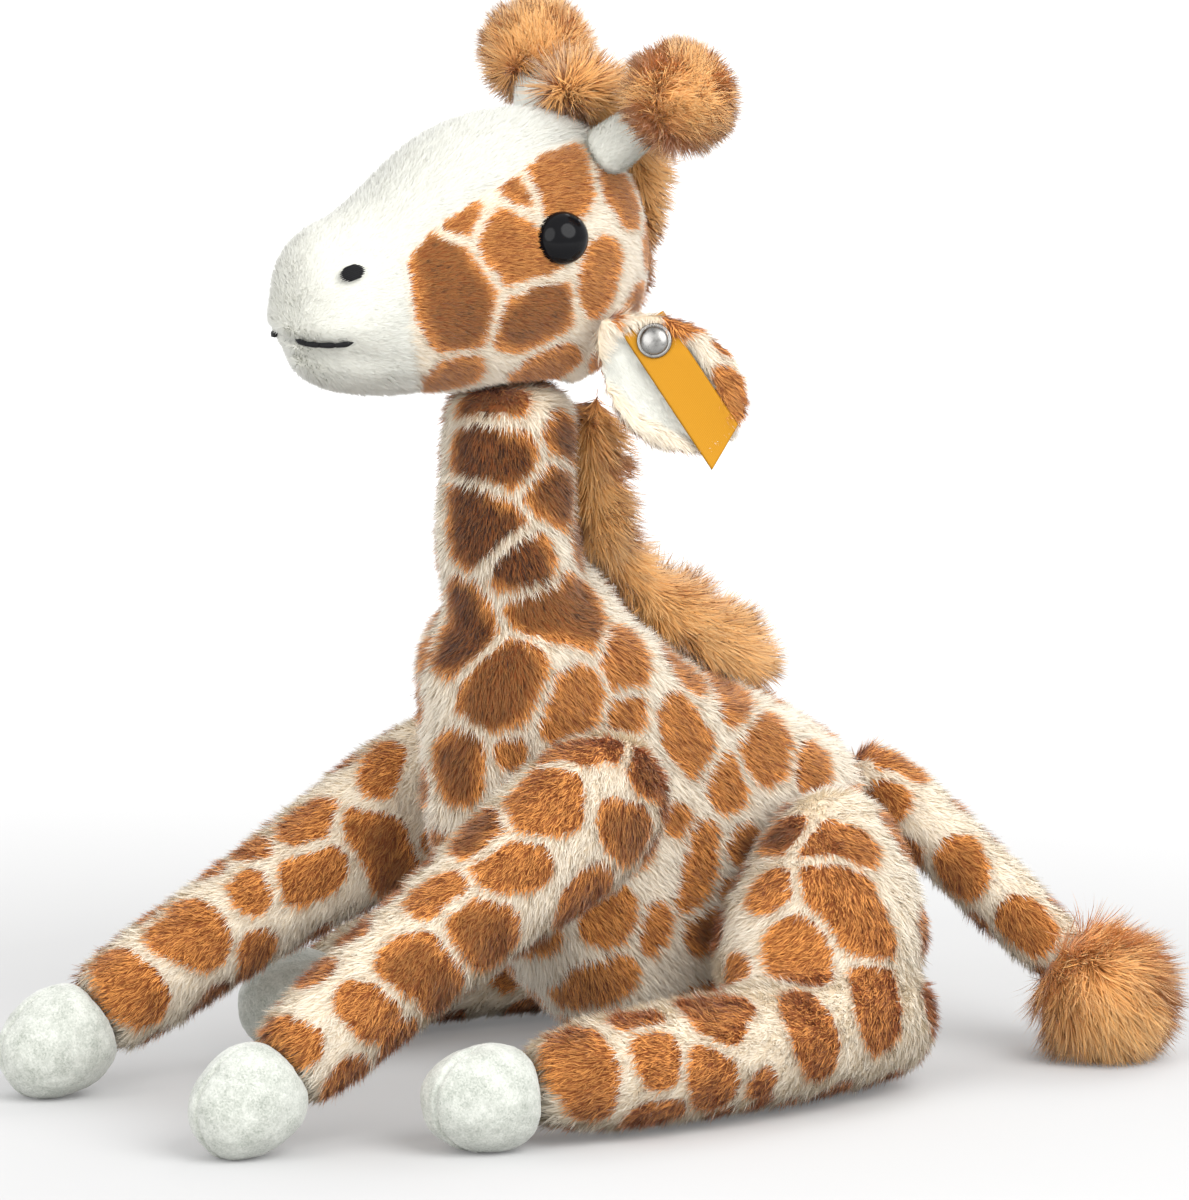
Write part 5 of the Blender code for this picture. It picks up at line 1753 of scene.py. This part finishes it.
@dataclass
class FaceStitches(Piece):
    """Satin-stitched nostrils and the stitched mouth line."""

    rows: int = 8
    nostril_thread: float = 0.34 * MM
    mouth_thread: float = 0.78 * MM
    mouth_sunk: float = 0.9 * MM
    nostril_sunk: float = 0.5 * MM
    nostril_spread: float = 1.14
    nostril_fill: tuple[float, float] = (0.94, 1.06)
    nostril_round: tuple[float, float, float] = (0.8, 0.2, 0.8)
    nostril_spots: int = 11
    nostril_sides: int = 7
    mouth_spots: int = 37
    mouth_sides: int = 9
    mouth_pinch: float = 0.22
    mouth_level: Place = (1, 1, 0.2)
    corner_lift: float = 0.8 * MM

    def build(self) -> None:
        """Make both nostrils and both halves of the mouth."""
        for side, _ in SIDES:
            shape = bmesh.new()
            middle, axes = main_axes(node_places(side + "_nostril"))
            half = [np.ptp(node_places(side + "_nostril") @ axis) / 2 * self.nostril_spread for axis in axes]
            outward = axes[2] if axes[2] @ (middle - np.array(MUZZLE_MIDDLE)) > 0 else -axes[2]
            fill, wide = self.nostril_fill
            along, beside, domed = self.nostril_round
            for row in range(self.rows):
                share = (2 * (row + 0.5) / self.rows - 1) * fill
                reach = half[0] * math.sqrt(1 - share * share)
                spots = np.linspace(-1, 1, self.nostril_spots)[:, None]
                lift = half[2] * np.sqrt(np.clip(1 - spots**2 * along - share**2 * beside, 0, 1))
                path = middle + spots * axes[0] * reach + axes[1] * share * half[1] * wide
                path = path + outward * (lift * domed - self.nostril_sunk)
                tube(shape, path, self.nostril_thread, self.nostril_sides)
            self.sew(side + "_nostril_stitches", shape, side + "_nostril")
            shape = bmesh.new()
            path = evenly(thread_line(side + "_mouth_stitch"), self.mouth_spots)
            outward = unit(path - np.array(MUZZLE_MIDDLE)) * np.array(self.mouth_level)
            ends = np.linspace(-1, 1, len(path))[:, None] ** 4
            path = path - outward * self.mouth_sunk + np.array((0, 0, 1)) * ends * self.corner_lift
            tube(shape, path, self.mouth_thread, self.mouth_sides, self.mouth_pinch)
            self.sew(side + "_mouth_thread", shape, side + "_mouth_stitch")

    def sew(self, name: str, shape: BMesh, node: str) -> None:
        """Put stitches in the place of their solid."""
        stitches = from_shape(name, shape)
        self.wear(stitches, THREAD, "head")
        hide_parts(node)


@dataclass
class Horns(Piece):
    """Two short stalks, each with a long-haired ball on its tip."""

    root_length: float = 8 * MM
    root_out: float = -1.0 * MM
    flare: Place = (-5.5 * MM, -3.5 * MM, -2.5 * MM)
    flare_share: float = 0.7
    flare_radius: float = 4.8 * MM
    root_radius: float = 5.8 * MM
    inset: float = 0.7 * MM
    core: float = 0.76
    past: float = 10 * MM
    swirl: float = 2.4

    def build(self) -> None:
        """Make both horns."""
        for side, sign in SIDES:
            lean = unit_of(*HORN_LEAN[side])
            points = node_places(side + "_horn")
            middle = points.mean(axis=0)
            foot = middle + lean * ((points @ lean).min() - middle @ lean)
            root = foot + np.array((self.root_out * sign, 0.0, -self.root_length))
            root = np.array([root, foot, foot + lean * self.root_length])
            flare = foot + np.array(self.flare) * (sign, 1, 1)
            flare = np.array([flare, foot + lean * self.root_length * self.flare_share])
            tip = middle + lean * ((points @ lean).max() - middle @ lean)
            cover = Cover(
                side + "_horn_stalk", (side + "_horn",), (tuple(foot), tuple(tip)), STALK_COAT,
                voxel=1.6 * MM, inset=self.inset, swell=0, rounds=2, splits=1, fill=0.9,
                tubes=((evenly(root, 5), self.root_radius), (evenly(flare, 5), self.flare_radius)),
            )
            cover.make()
            self.dress(cover, "head", finish=PALE)
            path = (tuple(foot), tuple(tip + lean * self.past))
            nodes = (side + "_horn_tuft",)
            hair = Hair(side + "_horn_pile", nodes, HORN_COAT, path, shrink=self.core, swirl=self.swirl)
            self.grow_hair(hair, "head")


@dataclass
class Crest(Piece):
    """Long pile over the crown and down the back of the head."""

    inset: float = 2.2 * MM
    low: float = 0.215
    high: float = 0.240
    low_reach: float = 0.55

    def build(self) -> None:
        """Make the crest, shorter towards the nape."""
        hair = Hair("crest_pile", ("crest",), CREST_COAT, CREST_PATH, inset=self.inset, reach=self.reach)
        self.grow_hair(hair, "head")

    def reach(self, points: Array) -> Array:
        """Share of the pile's length at each place."""
        return self.low_reach + (1 - self.low_reach) * smoothstep(self.low, self.high, points[:, 2])


@dataclass
class Mane(Piece):
    """Mane over neck and withers as one ridge."""

    inset: float = 2.2 * MM
    ridge_radius: float = 5.0 * MM

    def build(self) -> None:
        """Make the ridge and its pile."""
        ridge = (evenly(np.array(MANE_PATH), 26), self.ridge_radius)
        nodes = ("neck_mane", "withers_mane")
        hair = Hair("mane_pile", nodes, MANE_COAT, MANE_PATH, inset=self.inset, tubes=(ridge,))
        self.grow_hair(hair, "torso", NECK_BEND)


@dataclass
class Ears(Piece):
    """Spotted ear backs whose rims turn over short pale linings."""

    inset: float = 0.5 * MM
    hollow: float = 0.6 * MM
    widen: float = 1.22
    rim_rise: float = 2.6 * MM
    rim_pixels: float = 12.0
    rim_growth: float = 0.3
    edge_pixels: float = -24.0
    edge_soft: float = 3
    comb_half: float = 20 * MM
    turned: Range = (-0.1, 0.25)
    lining_edge: Range = (-3, 4)
    lining_core: float = 0.9
    lining_cut: float = 0.55
    over_end: Range = (-12 * MM, -5 * MM)
    spacing: float = 11 * MM

    def build(self) -> None:
        """Make both ears."""
        for side, sign in SIDES:
            middle, axes = main_axes(node_places(side + "_ear"))
            along = axes[0] if axes[0][2] < 0 else -axes[0]
            path = (tuple(middle - along * self.comb_half), tuple(middle + along * self.comb_half))
            cover = Cover(
                side + "_ear_cover", (side + "_ear", side + "_ear_lining"), path, EAR_COAT,
                voxel=1.2 * MM, inset=self.inset, swell=0, rounds=2, splits=1, fill=0.4,
            )
            cover.make()
            mesh = cover.skin.data
            inner = unit_of(EAR_OPENING[0] * sign, *EAR_OPENING[1:])
            across = unit_of(*np.cross(inner, along))
            points = places(mesh)
            points += across * (((points - middle) @ across) * (self.widen - 1))[:, None]
            put(mesh, points)
            facing = smoothstep(*self.turned, normals(mesh) @ inner)
            depth = inside(PHOTO.pixels(mirrored(points)), EAR_LINING)
            lining = smoothstep(*self.lining_edge, depth) * facing
            rim = bell(depth, self.rim_pixels, -self.rim_pixels) * facing
            put(mesh, points + inner * (self.rim_rise * rim - self.hollow * lining)[:, None])
            cover.comb()
            points, up = places(mesh), normals(mesh)
            centre = points[lining > self.lining_core].mean(axis=0)
            run, side_of = (points - middle) @ along, (points - middle) @ across * sign
            over = rim * (1 - smoothstep(*self.over_end, run))
            comb = kept(mesh, "comb") * (1 - over)[:, None] + unit(centre - points) * (2 * over)[:, None]
            keep(mesh, "comb", flat_to(comb, up))
            low, high = self.edge_pixels - self.edge_soft, self.edge_pixels + self.edge_soft
            edge = smoothstep(low, high, depth) * (side_of < 0)
            Markings(cover, False, self.spacing, 41 + sign).paint()
            keep(mesh, "pale", np.maximum(kept(mesh, "pale"), lining))
            for name in ("patch", "halo"):
                scale(mesh, name, (1 - lining) * (1 - edge * (facing > 0)))
            scale(mesh, "reach", 1 - self.lining_cut * lining + self.rim_growth * over)
            self.dress(cover, side + "_ear")


@dataclass
class EarTag(Piece):
    """Blank woven ribbon, and the domed stud that holds it."""

    width: float = 12.0 * MM
    length: float = 38.5 * MM
    thickness: float = 0.35 * MM
    bow: float = 0.6 * MM
    bow_tilt: float = 0.3
    curl: float = 0.5 * MM
    slant: float = 6.0 * MM
    fold: float = 3.2 * MM
    fold_start: float = 0.62
    fold_slope: float = 2.6
    fold_power: float = 1.5
    selvedge: float = 1.5
    selvedge_from: float = 0.45
    rows: int = 64
    columns: int = 20
    stud_radius: float = 4.5 * MM
    stud_dome: float = 2.2 * MM
    stud_edge: float = 0.7 * MM
    stud_steps: tuple[Range, ...] = ((1.0, 0.7), (0.93, 1.2), (0.86, 1.0))
    stud_inner: float = 0.82
    stud_rings: int = 12
    stud_sides: int = 48
    shank: float = 8.0 * MM
    shank_half: float = 1.2 * MM

    def build(self) -> None:
        """Make ribbon and stud."""
        middle, axes = main_axes(node_places("ear_tag"))
        down = axes[0] if axes[0][2] < 0 else -axes[0]
        out = axes[2] if axes[2][0] > 0 else -axes[2]
        ribbon = self.ribbon(middle, down, out)
        stud = self.stud(out)
        self.finishes.clad("ear_stud_back", PLATED)

    def ribbon(self, middle: Array, down: Array, out: Array) -> Object:
        """Make the ribbon, a little bowed and curled at its free end.

        Args:
            middle: Its middle.
            down: Direction of its length.
            out: Direction away from the ear.

        Returns:
            The ribbon.
        """
        across = np.cross(out, down)
        shape = bmesh.new()
        layer = shape.loops.layers.uv.new("ribbon")
        sheets = []
        for face in (1, -1):
            sheet = []
            for i in range(self.rows + 1):
                line = []
                for j in range(self.columns + 1):
                    u, v = j / self.columns - 0.5, i / self.rows
                    bow = self.bow * math.sin(math.pi * v) * (1 - self.bow_tilt * u)
                    bow += self.curl * (2 * u) ** 2 * v
                    selvedge = self.selvedge if abs(u) > self.selvedge_from else 1.0
                    thick = self.thickness / 2 * selvedge * (0 < j < self.columns)
                    folded = max(0.0, u + self.fold_start - self.fold_slope * v)
                    bow -= self.fold * folded**self.fold_power
                    slant = -self.slant * u * v * v
                    place = middle + across * u * self.width + down * ((v - 0.5) * self.length + slant)
                    line.append(shape.verts.new(place + out * (bow + face * thick)))
                sheet.append(line)
            sheets.append(sheet)
        for sheet, turn in zip(sheets, (1, -1)):
            for i in range(self.rows):
                for j in range(self.columns):
                    corners = [(i, j), (i, j + 1), (i + 1, j + 1), (i + 1, j)][::turn]
                    made = shape.faces.new([sheet[row][column] for row, column in corners])
                    for loop, (row, column) in zip(made.loops, corners):
                        loop[layer].uv = (column / self.columns, row / self.rows * self.length / self.width)
        top, under = sheets
        for i in (0, self.rows):
            for j in range(self.columns):
                shape.faces.new((top[i][j], top[i][j + 1], under[i][j + 1], under[i][j]))
        bmesh.ops.remove_doubles(shape, verts=shape.verts, dist=WELD)
        ribbon = from_shape("ear_ribbon", shape)
        self.wear(ribbon, SATIN, "ear_tag")
        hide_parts("ear_tag")
        return ribbon

    def stud(self, out: Array) -> Object:
        """Make the stud, a plain dome inside a raised edge."""
        spots = node_places("ear_stud")
        line = spots.mean(axis=0)
        foot = Vector(line + out * ((spots @ out).max() - self.stud_dome - line @ out))
        arc = [math.pi / 2 * i / self.stud_rings for i in range(self.stud_rings)]
        edge, inner = self.stud_edge, self.stud_radius * self.stud_inner
        profile = [(0.0, -self.shank), (self.shank_half, -self.shank), (self.shank_half, 0.0)]
        profile.append((self.stud_radius, 0.0))
        profile += [(self.stud_radius * wide, edge * high) for wide, high in self.stud_steps]
        profile += [(inner * math.cos(a), edge + (self.stud_dome - edge) * math.sin(a)) for a in arc]
        profile.append((0.0, self.stud_dome))
        stud = lathe("ear_stud_dome", profile, foot, Vector(out), self.stud_sides)
        self.wear(stud, PLATED, "left_ear")
        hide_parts("ear_stud")
        return stud


@dataclass
class Legs(Piece):
    """What front and hind legs share."""

    inset: float = 1.3 * MM
    spacing: float = 14 * MM

    def leg(
        self,
        name: str,
        nodes: tuple[str, ...],
        path: Sequence[Place],
        seed: int,
        body: str,
        bend: Bend | None = None,
    ) -> None:
        """Make one leg's cover, its spots and its pile.

        Args:
            name: Name of the leg.
            nodes: Solids that the cover replaces.
            path: Places that the pile is combed along, down to the hoof.
            seed: Seed of the hidden patches.
            body: Body that holds it.
            bend: Where it passes to a second body, if it does.
        """
        cover = Cover(name + "_cover", nodes, path, LEG_COAT, inset=self.inset)
        cover.make()
        Markings(cover, False, self.spacing, seed).paint()
        cover.fray(path[-1])
        self.dress(cover, body, bend)


@dataclass
class FrontLegs(Legs):
    """Two front legs, each one sewn tube."""

    def build(self) -> None:
        """Make both legs."""
        for side, sign in SIDES:
            node = side + "_front_leg"
            self.leg(node, (node,), FRONT_PATH[side], 7 + sign, node)


@dataclass
class HindLegs(Legs):
    """Haunch and lower leg of each side under one cover."""

    knee_start: Place = (0.050, 0.062, 0.036)
    knee_end: Place = (0.050, 0.048, 0.020)

    def build(self) -> None:
        """Make both legs."""
        for side, sign in SIDES:
            node = side + "_hind_leg"
            start, end = [(sign * place[0], *place[1:]) for place in (self.knee_start, self.knee_end)]
            bend = Bend(side + "_lower_leg", start, end)
            self.leg(node, (side + "_haunch", node), HIND_PATH[side], 17 + sign, side + "_thigh", bend=bend)


@dataclass
class Hooves(Piece):
    """Suede hooves with a sewn seam over the toe."""

    seam_bow: float = 3.0 * MM
    seam_half: float = 0.60 * MM
    seam_depth: float = 0.95 * MM
    pucker: float = 0.12 * MM
    pucker_size: float = 1.3 * MM
    front: Range = (-2 * MM, 3 * MM)
    bow_height: float = 10 * MM
    lumps: float = 0.30 * MM
    lump_size: float = 6 * MM
    nap_share: float = 0.35
    nap_size: float = 1.6 * MM
    rounds: int = 4
    splits: int = 2
    grain: float = 1.6 * MM
    toe_turns: tuple[float, ...] = (0.25, 0.10, 0.35, -0.30)

    def build(self) -> None:
        """Make the four hooves."""
        turns = iter(self.toe_turns)
        for limb, body in (("front", "_front_leg"), ("hind", "_lower_leg")):
            for side, _ in SIDES:
                self.hoof(f"{side}_{limb}_hoof", side + body, next(turns))

    def hoof(self, node: str, body: str, toe_turn: float) -> None:
        """Make one hoof.

        Args:
            node: Solid that it replaces.
            body: Body that holds it.
            toe_turn: How far its toe points to the toy's left.
        """
        hoof = joined(node + "_suede", (node,))
        remeshed(hoof, self.grain)
        put(hoof.data, relaxed(places(hoof.data), hoof.data, self.rounds))
        divided(hoof, self.splits)
        mesh = hoof.data
        points, up = places(mesh), normals(mesh)
        middle = (points.min(axis=0) + points.max(axis=0)) / 2
        toe = unit_of(toe_turn, -1.0, 0.0)
        across = np.cross(toe, (0, 0, 1))
        off = (points - middle) @ across
        off = off - self.seam_bow * np.cos((points[:, 2] - middle[2]) / self.bow_height)
        front = smoothstep(*self.front, (points - middle) @ toe)
        groove = bell(off, self.seam_half) * front
        beside = bell(np.abs(off), 2 * self.seam_half, 3 * self.seam_half) * front
        depth = self.pucker * beside * (1 + np.cos(points[:, 2] / self.pucker_size))
        depth -= self.seam_depth * groove
        nap = self.lumps * self.nap_share * ripple(points, self.nap_size, 2.0)
        depth += self.lumps * ripple(points, self.lump_size, toe_turn) + nap
        points = points + up * depth[:, None]
        points[:, 2] = np.maximum(points[:, 2], FLOOR_CLEARANCE)
        put(mesh, points)
        mesh.shade_smooth()
        self.wear(hoof, SUEDE, body)
        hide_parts(node)


@dataclass
class Tail(Piece):
    """Tail with its long-haired end."""

    voxel: float = 3 * MM
    inset: float = 1.0 * MM
    swell: float = 0.5 * MM
    spacing: float = 13 * MM
    core: float = 0.74

    def build(self) -> None:
        """Make the tail's cover and its end."""
        cover = Cover(
            "tail_cover", ("tail",), TAIL_PATH, LEG_COAT, voxel=self.voxel, inset=self.inset, swell=self.swell
        )
        cover.make()
        Markings(cover, False, self.spacing, 31).paint()
        self.dress(cover, "tail")
        tuft = Hair("tail_pile", ("tail_tuft",), TUFT_COAT, TAIL_PATH[-2:], shrink=self.core)
        self.grow_hair(tuft, "tail")


@dataclass
class PelletBag(Piece):
    """The bag of pellets inside the torso, which stays the solid of the model."""

    def build(self) -> None:
        """Give the bag its cloth."""
        self.finishes.clad("pellet_bag", BAG_CLOTH)


@dataclass
class Studio:
    """Floor, lamps and world, with each lamp's name, place, size and power."""

    floor_half: float = 30.0
    floor_paint: float = 0.50
    floor_glow: tuple[float, float] = (0.13, 0.63)
    glow_reach: tuple[float, float] = (0.22, 0.9)
    world_level: float = 0.86
    lamps: tuple[tuple[str, Place, float, float], ...] = (
        ("key", (1.9, 0.25, 1.5), 2.0, 52.0),
        ("fill", (0.7, -1.9, 1.0), 1.8, 26.0),
        ("rim", (-0.8, 1.5, 1.6), 1.4, 14.0),
    )

    def build(self) -> None:
        """Build the set and light it."""
        self.floor()
        self.world()
        for name, place, size, power in self.lamps:
            data = bpy.data.lights.new(name, "AREA")
            data.shape = "DISK"
            data.size = size
            data.energy = power
            lamp = bpy.data.objects.new(name, data)
            lamp.location = place
            lamp.rotation_euler = (CAMERA_AIM - Vector(place)).to_track_quat("-Z", "Y").to_euler()
            bpy.context.collection.objects.link(lamp)
        bpy.context.scene.view_settings.view_transform = "Standard"

    @staticmethod
    def seen(g: Graph) -> Socket:
        """1 for rays from the camera or through gloss and glass."""
        rays = g.add("ShaderNodeLightPath").outputs
        seen = g.math("MAXIMUM", rays["Is Camera Ray"], rays["Is Glossy Ray"])
        return g.math("MAXIMUM", seen, rays["Is Transmission Ray"])

    def floor(self) -> None:
        """Wide pale floor that fades to white in view and keeps the shadow."""
        shape = bmesh.new()
        half = self.floor_half
        corners = ((-half, -half, 0), (half, -half, 0), (half, half, 0), (-half, half, 0))
        shape.faces.new([shape.verts.new(corner) for corner in corners])
        floor = from_shape("studio_floor", shape)
        finish = bpy.data.materials.new("studio_floor")
        finish.use_nodes = True
        g = Graph(finish.node_tree)
        paint = g.add("ShaderNodeBsdfDiffuse", {"Color": (*[self.floor_paint] * 3, 1.0)})
        away = g.vector("LENGTH", g.add("ShaderNodeTexCoord").outputs["Object"])
        level = g.ramp(away, *self.glow_reach, *self.floor_glow)
        glow = g.add("ShaderNodeEmission", {"Strength": g.math("MULTIPLY", self.seen(g), level)})
        both = g.add("ShaderNodeAddShader", {0: paint.outputs[0], 1: glow.outputs[0]})
        g.add("ShaderNodeOutputMaterial", {"Surface": both.outputs[0]})
        floor.data.materials.append(finish)

    def world(self) -> None:
        """Even white surroundings, seen as white and dimmer as light."""
        world = bpy.data.worlds.new("studio")
        bpy.context.scene.world = world
        world.use_nodes = True
        g = Graph(world.node_tree)
        level = g.math("ADD", self.world_level, g.math("MULTIPLY", self.seen(g), 1 - self.world_level))
        sky = g.add("ShaderNodeBackground", {"Color": (1, 1, 1, 1), "Strength": level})
        g.add("ShaderNodeOutputWorld", {"Surface": sky.outputs[0]})


def main() -> None:
    """Build the scene and report each piece."""
    PHOTO.camera()
    Studio().build()
    finishes = Finishes()
    grower = Grower()
    for kind in (
        Trunk, Head, FrontLegs, HindLegs, Tail, Mane, Crest, Horns, Ears, Hooves, Eyes, FaceStitches, EarTag,
        PelletBag,
    ):
        kind(finishes, grower).build()
        log.info("made %s", kind.__name__)
    for strand in (grower.short, grower.long):
        bpy.data.objects.remove(strand, do_unlink=True)


if __name__ == "__main__":
    main()
